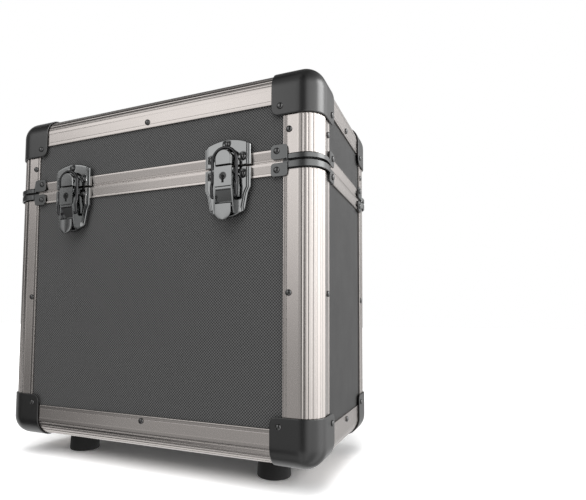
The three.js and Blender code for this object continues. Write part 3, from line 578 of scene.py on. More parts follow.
# Edge extrusions
def ribbed_outline():
    """Outside of the extrusion from one flange edge round the fluted corner to the other."""
    line = EDGE_FLANGE - SCRIBED_LINE
    step_at = EDGE_RADIUS + STEP_FROM_ROUND
    flange = [
        (EDGE_FLANGE, ROLLED_EDGE), (EDGE_FLANGE - ROLLED_EDGE * 0.3, ROLLED_EDGE * 0.3),
        (EDGE_FLANGE - ROLLED_EDGE, 0), (EDGE_FLANGE - ROLLED_EDGE * 2.4, 0),
        (EDGE_FLANGE - ROLLED_EDGE * 3, FLANGE_STEP),
        (line + SCRIBED_WIDTH, FLANGE_STEP), (line, FLANGE_STEP + SCRIBED_DEPTH),
        (line - SCRIBED_WIDTH, FLANGE_STEP), (step_at, FLANGE_STEP), (step_at - FLANGE_STEP * 2, 0),
        (EDGE_RADIUS, 0),
    ]
    corner = []
    flute_share = FLUTE_WIDTH / 2 / EDGE_RADIUS
    pitch = math.pi / 2 / RIBS
    for rib in range(RIBS):
        if rib > 0:
            corner += [(rib * pitch + step * flute_share, FLUTE_DEPTH * (1 + math.cos(math.pi * step)) / 2)
                       for step in (-1, -0.66, -0.33, 0, 0.33, 0.66, 1)]
        corner.append(((rib + 0.5) * pitch, 0))
    outline = flange + [(EDGE_RADIUS - (EDGE_RADIUS - depth) * math.sin(angle),
                         EDGE_RADIUS - (EDGE_RADIUS - depth) * math.cos(angle)) for angle, depth in corner]
    # a fault that is still here: the way back should be the flange alone, and it draws the flutes
    # a second time in the same place, which leaves a stray face and gaps in the end faces
    return outline + [(b, a) for a, b in reversed(outline)]


def edge_section():
    """Whole section: skin, two board channels, two inner lips, and a solid corner between."""
    return ribbed_outline() + [
        (SKIN, EDGE_FLANGE), (SKIN, EDGE_RADIUS), (CHANNEL_BACK, EDGE_RADIUS),
        (CHANNEL_BACK, LIP_REACH), (LIP_BACK, LIP_REACH), (LIP_BACK, LIP_BACK),
        (LIP_REACH, LIP_BACK), (LIP_REACH, CHANNEL_BACK), (EDGE_RADIUS, CHANNEL_BACK),
        (EDGE_RADIUS, SKIN), (EDGE_FLANGE, SKIN),
    ]


def mitre(a, b):
    return max(END_INSET, a, b) + MITRE_GAP


def edge_lengths():
    section = edge_section()
    for half, body in HALVES.items():
        lid = half == "lid"
        height = TOP if lid else BOTTOM
        node = "lid_top_edge_frame" if lid else "bottom_edge_frame"
        for turns, (side, run, way) in enumerate(SIDES):
            bar = prism(section, mitre, lambda a, b: run - mitre(a, b), lambda a, b, t: (t, a, b))
            finished(f"{half}_edge_{side}", moved(bar, corner_place(turns, height, lid)),
                     aluminium[way], body, "aluminium_extrusion", [node])
        length = abs(SEAM - height) - (LID_RIM_CORNER if lid else BODY_RIM_CORNER) - FIT
        post = prism(section, mitre, length, lambda a, b, t: (a, b, t))
        for turns, corner in enumerate(CORNERS):
            finished(f"{half}_upright_{corner}", moved(post, corner_place(turns, height, lid)),
                     aluminium["z"], body, "aluminium_extrusion", [f"{half}_edge_{corner}"])


edge_lengths()

# Rims at the seam: each point is a height away from the seam and a depth in from the outer face
BODY_MOULDING = [
    (MOUTH, 0.7), (0.35, 0.2), (0.6, 0), (3, 0), (3.2, 0.08), (10, 0.92), (10.2, 0.8), (10.5, 0.1),
    (10.7, 0), (12.4, 0), (12.65, 0.2), (BODY_BAND, BAND_EDGE),
]
LID_MOULDING = [
    (MOUTH, 1.25), (0.8, 1.25), (0.9, 0.85), (1.2, 0.75), (2.4, 0.62), (2.7, 1.1), (3, 1.25),
    (9.2, 0.12), (9.5, 0), (11, 0), (11.4, 0.2), (LID_BAND, BAND_EDGE),
]


def plan_path(inset):
    """Quarter round corner in plan at an inset, run out to where the flange of the corner ends."""
    run = EDGE_FLANGE + FIT
    radius = EDGE_RADIUS - inset
    bend = [(EDGE_RADIUS - radius * math.sin(turn), EDGE_RADIUS - radius * math.cos(turn))
            for turn in angles(14)]
    return [(run, inset)] + bend + [(inset, run)]


def rims():
    """Straight rims with a moulded face, a web and an inner lip, and plain ones round the corners,
    with a channel for the board and one for the tongue."""
    start = EDGE_FLANGE + FIT
    for half, body in HALVES.items():
        lid = half == "lid"
        moulding, ring, band = (LID_MOULDING, LID_RIM_CORNER, LID_BAND) if lid else (
            BODY_MOULDING, BODY_RIM_CORNER, BODY_BAND)
        inside = [(MOUTH, LIP_BACK), (MOUTH, CHANNEL_BACK), (ring - RIM_WEB, CHANNEL_BACK),
                  (ring - RIM_WEB, SKIN), (MOUTH, SKIN)]
        straight = moulding + [(band, SKIN), (ring, SKIN), (ring, CHANNEL_BACK),
                               (band, CHANNEL_BACK), (band, LIP_BACK)] + inside
        turned = [stop for stop in moulding if stop[0] < ring - 0.4]
        turned += [(ring - 0.3, 0.5), (ring, BAND_EDGE), (ring, LIP_BACK)] + inside
        for turns, (side, run, way) in enumerate(SIDES):
            bar = prism(straight, start, run - start, lambda height, depth, t: (t, depth, height))
            finished(f"{half}_rim_{side}", moved(bar, corner_place(turns, SEAM, not lid)),
                     aluminium[way], body, "aluminium_extrusion", [f"{half}_rim"])
        paths = [[(x, y, height) for x, y in plan_path(depth)] for height, depth in turned]
        bend = lofted(list(zip(*paths)))
        for turns, corner in enumerate(CORNERS):
            finished(f"{half}_rim_corner_{corner}", moved(bend, corner_place(turns, SEAM, not lid)),
                     darker_nickel_painted_shade, body, "aluminium_extrusion", [f"{half}_rim"])
    inner = (SKIN + CHANNEL_BACK - TONGUE) / 2
    outer = inner + TONGUE
    high, low = LID_RIM_CORNER - RIM_WEB, -TONGUE_DEPTH + TONGUE_EDGE
    loops = []
    for inset, height in ((inner, high), (inner, low), (inner + TONGUE_EDGE, -TONGUE_DEPTH),
                          (outer - TONGUE_EDGE, -TONGUE_DEPTH), (outer, low), (outer, high)):
        loops.append([corner_place(turns, SEAM, False) @ Vector((x, y, height)) for turns in range(4)
                      for x, y in reversed(plan_path(inset)[1:-1])])
    finished("lid_rim_tongue", lofted(loops + loops[:1], closed_ends=False), aluminium["x"],
             "lid", "aluminium_extrusion", ["lid_rim"])


rims()


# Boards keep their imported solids
def dress_boards():
    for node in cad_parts:
        if "board" in node:
            way = "side" if "left" in node or "right" in node else "front"
            dressed(node, laminates["flat" if "bottom" in node or "top" in node else way])


dress_boards()


# Rivets
def rivet_head(radius, height):
    """A domed head on a thin flange, facing up."""
    profile = [(NEAR_AXIS, -0.6), (radius * 0.8, -0.6), (radius * 0.96, 0), (radius, height * 0.12),
               (radius, height * 0.3)]
    profile += [(max(NEAR_AXIS, radius * 0.97 * math.cos(turn)), height * (0.3 + 0.7 * math.sin(turn)))
                for turn in angles(7)[1:]]
    return lathed(profile, 24)


FACING = {
    "front": Matrix.Rotation(math.pi / 2, 4, "X"), "back": Matrix.Rotation(-math.pi / 2, 4, "X"),
    "right": Matrix.Rotation(math.pi / 2, 4, "Y"), "left": Matrix.Rotation(-math.pi / 2, 4, "Y"),
    "top": Matrix.Identity(4), "bottom": Matrix.Rotation(math.pi, 4, "X"),
}


def rivets(name, body, seats, slot="clip_steel", radius=RIVET_RADIUS, height=RIVET_HEIGHT):
    """One piece of many heads, each given by the way it faces, where its seat is, and the place of
    the corner that it is drawn at, if any."""
    head = rivet_head(radius, height)
    heads = []
    for way, seat, *corner in seats:
        place = corner[0] if corner else Matrix.Identity(4)
        heads.append(moved(head, place @ Matrix.Translation(seat) @ FACING[way]))
    finished(name, merged(*heads), rivet_steel, body, slot)


def edge_rivets():
    """Heads along the flanges, where they pin the extrusions to the boards behind them."""
    middle = (LEFT + RIGHT) / 2
    along = (LEFT + UPRIGHT_RIVET_IN, RIGHT - UPRIGHT_RIVET_IN)
    across = (FRONT + UPRIGHT_RIVET_IN, BACK - UPRIGHT_RIVET_IN)
    for half, level, rise, flat, end in (
            ("body", BOTTOM + BODY_FLANGE_RIVET, BOTTOM + BODY_UPRIGHT_RIVET, "bottom", BOTTOM),
            ("lid", TOP - LID_FLANGE_RIVET, BOTTOM + LID_UPRIGHT_RIVET, "top", TOP)):
        seats = []
        for way, y in (("front", FRONT), ("back", BACK)):
            seats.append((way, (middle, y, level)))
            seats += [(way, (x, y, rise)) for x in along]
        for way, x in (("left", LEFT), ("right", RIGHT)):
            seats.append((way, (x, MIDDLE, level)))
            seats += [(way, (x, y, rise)) for y in across]
        seats += [(flat, (middle, y, end)) for y in across]
        rivets(f"{half}_edge_rivets", HALVES[half], seats)


edge_rivets()


# Corner caps
def cap_surface():
    """Rounded outside of a box corner, laid out as three square lobes with one round tip each."""
    round_steps, flat_steps, tip_steps = 7, 6, 5
    radius = EDGE_RADIUS + CAP_FACE
    centre = EDGE_RADIUS
    tip = CAP_SPAN - CAP_LOBE
    spans = [centre - radius * math.tan(math.pi / 4 * (1 - step / round_steps))
             for step in range(round_steps)]
    spans += [centre + (tip - centre) * step / flat_steps for step in range(flat_steps)]
    spans += [tip + CAP_LOBE * step / tip_steps for step in range(tip_steps + 1)]
    count = len(spans)
    faces = [(here, here + 1, here + count + 1, here + count)
             for row in range(count - 1) for here in range(row * count, row * count + count - 1)]
    shapes = []
    for axis in range(3):
        points = []
        for a in spans:
            for b in spans:
                u, v = a, b
                if a > tip and b > tip:
                    p, q = (a - tip) / CAP_LOBE, (b - tip) / CAP_LOBE
                    squeeze = max(p, q) / math.hypot(p, q)
                    u, v = tip + CAP_LOBE * p * squeeze, tip + CAP_LOBE * q * squeeze
                spot = Vector((-CAP_FACE, u, v))
                spot = Vector([spot[(at - axis) % 3] for at in range(3)])
                heart = Vector([max(coordinate, centre) for coordinate in spot])
                points.append(heart + (spot - heart).normalized() * radius)
        shapes.append((points, faces))
    return merged(*shapes)


def corner_caps():
    outside = cap_surface()
    seats = (("bottom", (CAP_RIVET, CAP_RIVET, -CAP_FACE)), ("front", (CAP_RIVET, -CAP_FACE, CAP_RIVET)),
             ("left", (-CAP_FACE, CAP_RIVET, CAP_RIVET)))
    for half, body in HALVES.items():
        lid = half == "lid"
        heads = []
        for turns, corner in enumerate(CORNERS):
            place = corner_place(turns, TOP if lid else BOTTOM, lid)
            cap = finished(f"{half}_cap_{corner}_shell", moved(outside, place), cap_abs, body,
                           "moulded_cap", [f"{half}_cap_{corner}"])
            wall = cap.modifiers.new("wall", "SOLIDIFY")
            wall.thickness = CAP_WALL * MM
            wall.offset = -1
            eased(cap, CAP_EDGE, 50, 3)
            heads += [(way, seat, place) for way, seat in seats]
        rivets(f"{half}_cap_rivets", body, heads)


corner_caps()


# Corner clips
def clip_shape(start, end, strap_start, strap_end):
    """A pressed strap round the corner between two tabs, drawn upwards from the seam. The first
    measure runs from the middle of the corner out along either face."""
    quarter = math.pi / 2 * EDGE_RADIUS / 2
    inner = CLIP_INNER - EDGE_RADIUS + quarter
    outer = CLIP_OUTER - EDGE_RADIUS + quarter
    shoulder = inner + CLIP_SHEET
    stops = [quarter * share for share in (0, 0.2, 0.4, 0.6, 0.8, 1)]
    stops += [inner + run for run in (-1.5, 0, 0.6)]
    stops += [shoulder + run for run in (0, 0.3, 1, CLIP_CORNER)]
    stops += [outer - run for run in (CLIP_CORNER, 2, 1.2, 0.6, 0.2, 0)]
    stops = sorted({round(sign * stop, 4) for stop in stops for sign in (-1, 1)})

    def rounded(gap):
        gap = max(0, min(CLIP_CORNER, gap))
        return CLIP_CORNER - math.sqrt(CLIP_CORNER ** 2 - (CLIP_CORNER - gap) ** 2)

    def limits(t):
        along = abs(t)
        if along <= shoulder:
            return strap_start, strap_end
        cut = max(rounded((along - shoulder) * 1.2), rounded(outer - along))
        if along < shoulder + 1:
            return min(strap_start, start + cut), max(strap_end, end - cut)
        return start + cut, end - cut

    def reach(t):
        share = max(0, min(1, (abs(t) - inner + 0.6) / 2.2))
        share = share * share * (3 - 2 * share)
        return CLIP_STRAP_FACE + (CLIP_TAB_FACE - CLIP_STRAP_FACE) * share

    def place(t, w, out):
        along = abs(t)
        spot = (along - quarter + EDGE_RADIUS, -out)
        if along <= quarter:
            turn = math.pi + math.pi / 4 * (1 + along / quarter)
            radius = EDGE_RADIUS + out
            spot = (EDGE_RADIUS + radius * math.cos(turn), EDGE_RADIUS + radius * math.sin(turn))
        return (*(spot[::-1] if t < 0 else spot), w)

    shares = [row / 8 for row in range(9)]
    rows = [[(t, limits(t)[0] * (1 - share) + limits(t)[1] * share) for t in stops] for share in shares]
    return slab(rows, lambda t, w: reach(t), lambda t, w: reach(t) - CLIP_SHEET, place)


def corner_clips():
    for half, body in HALVES.items():
        *heights, rise = CLIP_HEIGHTS[half]
        shape = clip_shape(*heights)
        heads = []
        for turns, corner in enumerate(CORNERS):
            place = corner_place(turns, SEAM, half == "body")
            finished(f"{half}_clip_{corner}_pressing", moved(shape, place), darker_nickel_painted_shade,
                     body, "clip_steel", [f"{half}_clip_{corner}"], bevel=0.3)
            heads += [("front", (CLIP_RIVET_IN, -CLIP_TAB_FACE, rise), place),
                      ("left", (-CLIP_TAB_FACE, CLIP_RIVET_IN, rise), place)]
        rivets(f"{half}_clip_rivets", body, heads)


corner_clips()


# Latches
def spread(stops, pitch):
    """Stops in order, with more put in between so that none are further apart than the pitch."""
    filled = []
    for low, high in zip(stops, stops[1:]):
        parts = max(1, math.ceil((high - low) / pitch))
        filled += [low + (high - low) * part / parts for part in range(parts)]
    return filled + [stops[-1]]


def arch_radius(half, rise):
    return (half * half + rise * rise) / (rise * 2)


# How far in from a plate's long edge its face turns, and how far out it reaches there: two beads
# and two grooves beside the raised face
BORDER_STOPS = (0, 0.35, 1, 1.25, 1.75, 2, 2.7, 2.95, 3.3, BORDER)
BORDER_DROPS = (1, 0.5, 0.5, 1, 1, 0.1, 0.1, 0.5, 0.5, PLATE_EDGE_REACH - PLATE_REACH)
BORDER_REACHES = [(stop, PLATE_EDGE_REACH - drop) for stop, drop in zip(BORDER_STOPS, BORDER_DROPS)]
# Half the base plate's width at each drop below the seam
BASE_HALVES = [(0, PLATE_HALF), (BASE_SHOULDER, PLATE_HALF), (BASE_WAIST, BASE_WAIST_HALF),
               (BASE_CORNER, BASE_CORNER_HALF)]
STRIKE_SEATS = [(0, STRIKE_TOP_RIVET), (-LATCH_RIVET_X, STRIKE_RIVET_RISE),
                (LATCH_RIVET_X, STRIKE_RIVET_RISE)]
BASE_SEATS = [(-LATCH_RIVET_X, -BASE_RIVET_DROP), (LATCH_RIVET_X, -BASE_RIVET_DROP)]


def rolled_off(gap):
    """How far a plate falls back this near to its end, where the sheet is rolled over."""
    inward = PLATE_ROLL - min(PLATE_ROLL, gap)
    return 0.8 * (PLATE_ROLL - math.sqrt(max(0, PLATE_ROLL ** 2 - inward ** 2)))


def dimple(u, w, seats):
    """How far a plate sinks round its rivets."""
    away = min(math.hypot(u - seat_u, w - seat_w) for seat_u, seat_w in seats)
    return DIMPLE_DEPTH * max(0, min(1, (DIMPLE_RADIUS - away) / DIMPLE_SLOPE))


def strike_plate(place):
    radius = arch_radius(PLATE_HALF, STRIKE_TOP - STRIKE_SHOULDER)

    def top(u):
        return STRIKE_TOP - radius + math.sqrt(radius * radius - u * u)

    edges = [PLATE_HALF - stop for stop in BORDER_STOPS]
    across = spread(sorted({-u for u in edges} | set(edges)), 1.1)
    rows = [[(u, STRIKE_START + share * (top(u) - PLATE_ROLL - STRIKE_START)) for u in across]
            for share in spread([0, 1], 0.045)]
    rows += [[(u, top(u) - gap) for u in across] for gap in ROLL_GAPS]

    def front(u, w):
        face = between(BORDER_REACHES, PLATE_HALF - abs(u))
        return face - rolled_off(top(u) - w) - dimple(u, w, STRIKE_SEATS)

    return slab(rows, front, lambda u, w: FIT, place)


def base_plate(place):
    radius = arch_radius(BASE_CORNER_HALF, BASE_END - BASE_CORNER)

    def bottom(u):
        return radius - BASE_END - math.sqrt(radius * radius - min(abs(u), BASE_CORNER_HALF) ** 2)

    inner = spread([CHANNEL_HALF + 0.35, BASE_CORNER_HALF], 1.1)
    # each column is a share of the half width and an offset from there
    half_columns = [(0, 0), (0, 3), (0, 6), (0, CHANNEL_HALF - 0.2), (0, CHANNEL_HALF)]
    for u in inner:
        share = (u - inner[0]) / (inner[-1] - inner[0])
        half_columns.append((share, (1 - share) * inner[0] - share * BORDER))
    half_columns += [(1, -stop) for stop in reversed(BORDER_STOPS[:-1])]
    columns = [(-share, -offset) for share, offset in reversed(half_columns[1:])] + half_columns
    drops = spread([BASE_START, BASE_SHOULDER, BASE_WAIST, CHANNEL_END - 0.3, CHANNEL_END,
                    BASE_CORNER - 1.5], 1.3)
    rows = [[(share * between(BASE_HALVES, drop) + offset, -drop) for share, offset in columns]
            for drop in drops]
    last = [point[0] for point in rows[-1]]
    rows += [[(u, bottom(u) + gap) for u in last] for gap in (PLATE_ROLL, *ROLL_GAPS)]

    def front(u, w):
        if abs(u) < CHANNEL_HALF + 0.1 and -w < CHANNEL_END - 0.1:
            return CHANNEL_FLOOR
        face = between(BORDER_REACHES, max(0, between(BASE_HALVES, -w) - abs(u)))
        return face - rolled_off(w - bottom(u)) - dimple(u, w, BASE_SEATS)

    return slab(rows, front, lambda u, w: FIT, place)


def dome(place):
    """Pressed button that the bail hooks over: straight below, round above, with a soft edge."""
    def outline(inset):
        half = DOME_HALF - inset
        centre = DOME_TOP - DOME_HALF
        foot = DOME_START + inset * 0.4
        return [(-half, foot), (half, foot)] + [
            (half * math.cos(turn), centre + half * math.sin(turn)) for turn in angles(24, math.pi)]

    rings = [[place(u, w, PLATE_REACH - 1) for u, w in outline(0)]]
    for turn in angles(6):
        reach = DOME_REACH - DOME_ROUND * (1 - math.sin(turn))
        rings.append([place(u, w, reach) for u, w in outline(DOME_ROUND * (1 - math.cos(turn)))])
    return lofted(rings)


def lever_half(drop):
    """Half width of the lever, a little less below the lock box, with a round tab at the end."""
    share = max(0, min(1, (drop - LOCK_BOX_END) / 1.5))
    half = LEVER_HALF + (TAB_HALF - LEVER_HALF) * share * share * (3 - 2 * share)
    low = drop - (TAB_END - TAB_HALF)
    return min(half, math.sqrt(max(0, TAB_HALF ** 2 - low ** 2))) if low > 0 else half


def lever_rows(drops):
    return [[(share * lever_half(drop), -drop) for share in LEVER_SHARES] for drop in drops]


def lever_shell(place):
    """Lock box and the scoop below it, whose floor runs on behind the tab and turns up to it."""
    lip_end = SCOOP_START + SCOOP_LIP
    drops = spread([LEVER_TOP, LOCK_BOX_END], 2)
    drops += [LOCK_BOX_END + 0.05, LOCK_BOX_END + 0.8, SCOOP_START]
    drops += spread([lip_end - 0.4, lip_end, SCOOP_END, SCOOP_TURN - 0.1, SCOOP_TURN], 1)
    drops += spread([SCOOP_TURN + 0.5, SCOOP_TURN + 4], 1)

    def front(u, w):
        drop = -w
        if drop <= LOCK_BOX_END:
            return LEVER_REACH
        if drop < LOCK_BOX_END + 0.85:
            return LEVER_REACH - LOCK_BOX_STEP
        if drop < lip_end:
            return CHEEK_REACH
        if drop >= SCOOP_TURN:
            return TAB_REACH - TAB_THICKNESS + 0.3
        along = min(1, (drop - lip_end) / (SCOOP_END - lip_end))
        return CHEEK_REACH - 0.4 - (CHEEK_REACH - 0.4 - SCOOP_FLOOR) * along

    def back(u, w):
        crown = max(0, LEVER_TOP + LEVER_CROWN + w) / LEVER_CROWN
        return LEVER_BACK + LEVER_CROWN * (1 - math.sqrt(max(0, 1 - crown * crown)))

    return slab(lever_rows(drops), front, back, place)


def lever_tab(place):
    """Finger tab: a flat tongue with a round end, held off the floor of the scoop."""
    drops = spread([SCOOP_END, TAB_END - TAB_HALF], 1.5)[:-1]
    drops += [TAB_END - TAB_HALF + TAB_HALF * math.sin(turn) for turn in angles(14)]

    def front(u, w):
        share = abs(u) / max(0.01, lever_half(-w))
        flare = (-w - SCOOP_END) / (TAB_END - SCOOP_END)
        return TAB_REACH + TAB_CROWN * (1 - share ** 2) + TAB_FLARE * flare

    return slab(lever_rows(drops), front, lambda u, w: TAB_REACH - TAB_THICKNESS, place)


def lever_cheeks(place):
    """Side walls of the lever below the lock box, which spread a little as they go down."""
    outline = [(LEVER_BACK, LOCK_BOX_END - 1), (LEVER_REACH - 0.6, LOCK_BOX_END - 1),
               (LEVER_REACH - 0.9, LOCK_BOX_END + 5), (12, 30), (11.4, 37), (10.6, 42), (9.4, 45.4),
               (7.6, 46.6), (5.4, 46), (LEVER_BACK, 43)]
    walls = []
    for end in (-1, 1):
        def beside(reach, drop, level):
            flare = CHEEK_FLARE * min(1, max(0, (drop - LOCK_BOX_END) / CHEEK_FLARE_RUN))
            return place(end * (level + flare), -drop, reach)
        walls.append(prism(outline, LEVER_HALF - CHEEK, LEVER_HALF, beside))
    return merged(*walls)


def flat_ring(outer, inner, low, high):
    """A flat ring between two radii, eased at its outer top edge."""
    return lathed([(inner, low), (outer, low), (outer, high - RING_EDGE), (outer - RING_EDGE, high),
                   (inner, high), (inner, low)], closed_ends=False)


def keyhole_outline():
    """Round hole with a slot below, as one outline."""
    half = KEY_SLOT / 2
    start = math.asin(half / KEY_HOLE)
    points = [(KEY_HOLE * math.cos(turn), KEY_HOLE * math.sin(turn))
              for turn in angles(20, 2 * math.pi - 2 * start, start - math.pi / 2)]
    return points + [(-half, -KEY_SLOT_DROP), (half, -KEY_SLOT_DROP)]


def bail_path():
    """Wire from one pivot up over the dome and down to the other, as (u, reach, w)."""
    legs = []
    for side in (-1, 1):
        u = side * BAIL_HALF
        legs.append(softened([
            (side * (LEVER_HALF - 1), BAIL_PIVOT_REACH, -BAIL_PIVOT_DROP),
            (u, BAIL_PIVOT_REACH, -BAIL_PIVOT_DROP),
            (u, BAIL_PIVOT_REACH + 1, -BAIL_KINK - BAIL_KINK_RUN),
            (u, BAIL_REACH, -BAIL_KINK), (u, BAIL_REACH, 0)], BAIL_BEND))
    arch = [Vector((BAIL_HALF * math.cos(turn), BAIL_REACH,
                    BAIL_TOP - BAIL_HALF + BAIL_HALF * math.sin(turn)))
            for turn in angles(28, -math.pi, math.pi)]
    return legs[0] + arch + legs[1][::-1]


def latches():
    for side in ("left", "right"):
        low, high = map(millimetres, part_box(f"latch_strike_{side}"))
        middle = (low.x + high.x) / 2

        def place(u, w, reach):
            return Vector((middle + u, FRONT - reach, SEAM + w))

        def latch_piece(name, shape, body, node, finish=black_nickel, **edges):
            finished(f"latch_{name}", shape, finish, body, "latch_steel", [f"latch_{node}_{side}"],
                     **edges)

        latch_piece(f"strike_{side}_plate", strike_plate(place), "lid", "strike", crease=28)
        latch_piece(f"dome_{side}", dome(place), "lid", "strike")
        latch_piece(f"base_{side}_plate", base_plate(place), "case_body", "base", crease=28)
        for part, draw, bevel in (("shell", lever_shell, 0.4), ("tab", lever_tab, 0.3),
                                  ("cheeks", lever_cheeks, 0.25)):
            latch_piece(f"lever_{side}_{part}", draw(place), f"lever_{side}", "lever",
                        bevel=bevel, crease=30)
        wire = tube([place(u, w, reach) for u, reach, w in bail_path()], WIRE, 16)
        latch_piece(f"bail_{side}_wire", wire, f"bail_{side}", "bail", plated_wire)

        # the barrel turns round a post, and the key opening and its groove belong to the lever
        face = Matrix.Translation(place(0, -BARREL_DROP, LEVER_REACH)) @ FACING["front"]
        rosette = flat_ring(BARREL_RADIUS, KEY_HOLE + 0.25, -BARREL_DEPTH, 0.12)
        post = lathed([(NEAR_AXIS, -KEY_POST_DEPTH), (KEY_POST, -KEY_POST_DEPTH), (KEY_POST, -0.3),
                       (KEY_POST * 0.6, 0), (NEAR_AXIS, 0)], 16)
        finished(f"latch_lock_{side}_barrel", merged(moved(rosette, face), moved(post, face)),
                 barrel_zinc, f"lock_{side}", "lock_steel", [f"latch_lock_{side}"])
        # the key opening and the groove are near-black solids laid in at the lever's face: painted shade for
        # the hole and the gap
        keyhole = prism([(a, b - BARREL_DROP) for a, b in keyhole_outline()], LEVER_REACH - 1,
                        LEVER_REACH + 0.16, place)
        groove = flat_ring(BARREL_RADIUS + BARREL_GROOVE, BARREL_RADIUS + 0.06, -1, 0.05)
        finished(f"latch_key_opening_{side}", merged(keyhole, moved(groove, face)), keyhole_painted_shade,
                 f"lever_{side}", "lock_steel")

        outline = [(PLATE_REACH - 1, end * EAR_HALF - LEVER_PIN_DROP) for end in (-1, 1)]
        outline += [(LEVER_PIN_REACH + EAR_HALF * math.sin(turn), -LEVER_PIN_DROP + EAR_HALF * math.cos(turn))
                    for turn in angles(14, math.pi)]
        ears = []
        for end in (-1, 1):
            near = end * (CHANNEL_HALF + 0.1)
            ears.append(prism(outline, near, near + end * EAR_SHEET, lambda a, b, t: place(t, b, a)))
        pin = lathed([(NEAR_AXIS, -PIN_HALF), (PIN_RADIUS, -PIN_HALF), (PIN_RADIUS, PIN_HALF),
                      (NEAR_AXIS, PIN_HALF)], 16)
        seat = Matrix.Translation(place(0, -LEVER_PIN_DROP, LEVER_PIN_REACH)) @ FACING["right"]
        latch_piece(f"ears_{side}", merged(*ears, moved(pin, seat)), "case_body", "base", bevel=0.25)
        for node, body, seats in (("strike", "lid", STRIKE_SEATS), ("base", "case_body", BASE_SEATS)):
            rivets(f"latch_{node}_rivets_{side}", body,
                   [("front", place(u, w, PLATE_REACH - DIMPLE_DEPTH)) for u, w in seats],
                   radius=LATCH_RIVET_RADIUS)


latches()


# Handle
def handle():
    low, high = map(millimetres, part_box("handle_grip"))
    stub = millimetres(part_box("handle_bow")[1]).x
    axis_z = (low.z + high.z) / 2
    grip_y = (low.y + high.y) / 2
    axis_y = grip_y - HANDLE_DROP
    half = stub - HANDLE_BEND - HANDLE_STUB
    bow = softened([(-stub, axis_y, axis_z), (-half, axis_y, axis_z), (-half, grip_y, axis_z),
                    (half, grip_y, axis_z), (half, axis_y, axis_z), (stub, axis_y, axis_z)],
                   HANDLE_BEND, 10)
    finished("handle_bow_rod", tube(bow, HANDLE_ROD, 20), powder_coat, "handle", "hardware_steel",
             ["handle_bow"])
    reach = (high.x - low.x) / 2
    core = GRIP_RADIUS - GRIP_ROUND
    width = 2 * (reach - GRIP_PLAIN_END) / GRIP_RIBS
    profile = [(HANDLE_ROD, -reach)]
    profile += [(core + GRIP_ROUND * math.sin(turn), -reach + GRIP_ROUND * (1 - math.cos(turn)))
                for turn in angles(8)]
    for rib in range(GRIP_RIBS):
        for depth, share in ((0, 0.2), (GRIP_GROOVE, 0.35), (GRIP_GROOVE, 0.65), (0, 0.8)):
            profile.append((GRIP_RADIUS - depth, -reach + GRIP_PLAIN_END + width * (rib + share)))
    profile += [(core + GRIP_ROUND * math.cos(turn), reach - GRIP_ROUND * (1 - math.sin(turn)))
                for turn in angles(8)]
    profile.append((HANDLE_ROD, reach))
    grip = moved(lathed(profile, 40), Matrix.Translation((0, grip_y, axis_z)) @ FACING["right"])
    finished("handle_grip_cover", grip, grip_rubber, "handle", "grip_rubber", ["handle_grip"])
    seats = []
    for side in ("left", "right"):
        node = f"handle_bracket_{side}"
        eased(dressed(node, powder_coat), PACKED_EDGE, 50)
        low, high = map(millimetres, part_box(node))
        seats += [("top", (x, y, low.z + BRACKET_PLATE))
                  for x in (low.x + BRACKET_RIVET_IN, high.x - BRACKET_RIVET_IN)
                  for y in (low.y + BRACKET_RIVET_IN, high.y - BRACKET_RIVET_IN)]
    rivets("handle_bracket_rivets", "lid", seats, "hardware_steel", *BRACKET_RIVET)


handle()


def hinges():
    """Packed leaves, each with a row of rivets through its plate."""
    for half, body in HALVES.items():
        seats = []
        for side in ("left", "right"):
            node = f"hinge_{half}_leaf_{side}"
            eased(dressed(node, powder_coat), PACKED_EDGE, 50)
            low, high = map(millimetres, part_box(node))
            rise = high.z - HINGE_RIVET_IN if half == "lid" else low.z + HINGE_RIVET_IN
            for x in (low.x + HINGE_RIVET_IN, (low.x + high.x) / 2, high.x - HINGE_RIVET_IN):
                seats.append(("back", (x, BACK, rise)))
        rivets(f"hinge_{half}_rivets", body, seats, "hardware_steel", *HINGE_RIVET)


hinges()


# Feet
def feet():
    """Turned rubber buffers, each with a screw in its bore."""
    for corner in CORNERS:
        low, high = map(millimetres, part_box(f"foot_{corner}"))
        middle = Matrix.Translation(((low.x + high.x) / 2, (low.y + high.y) / 2, 0))
        profile = [(NEAR_AXIS, FOOT_BORE_DEPTH), (FOOT_BORE, FOOT_BORE_DEPTH), (FOOT_BORE, 0.6),
                   (FOOT_BORE + 0.6, 0)]
        profile += [(FOOT_RADIUS - FOOT_EDGE + FOOT_EDGE * math.sin(turn),
                     FOOT_EDGE * (1 - math.cos(turn))) for turn in angles(6)]
        profile += [(FOOT_TOP_RADIUS + 0.05, high.z - 1), (FOOT_TOP_RADIUS - 0.5, high.z),
                    (NEAR_AXIS, high.z)]
        finished(f"foot_{corner}_buffer", moved(lathed(profile, 48), middle), foot_rubber,
                 "case_body", "foot_rubber", [f"foot_{corner}"])
        finished(f"foot_{corner}_screw", moved(lathed(FOOT_SCREW, 24), middle), powder_coat, "case_body",
                 "foot_rubber")


feet()

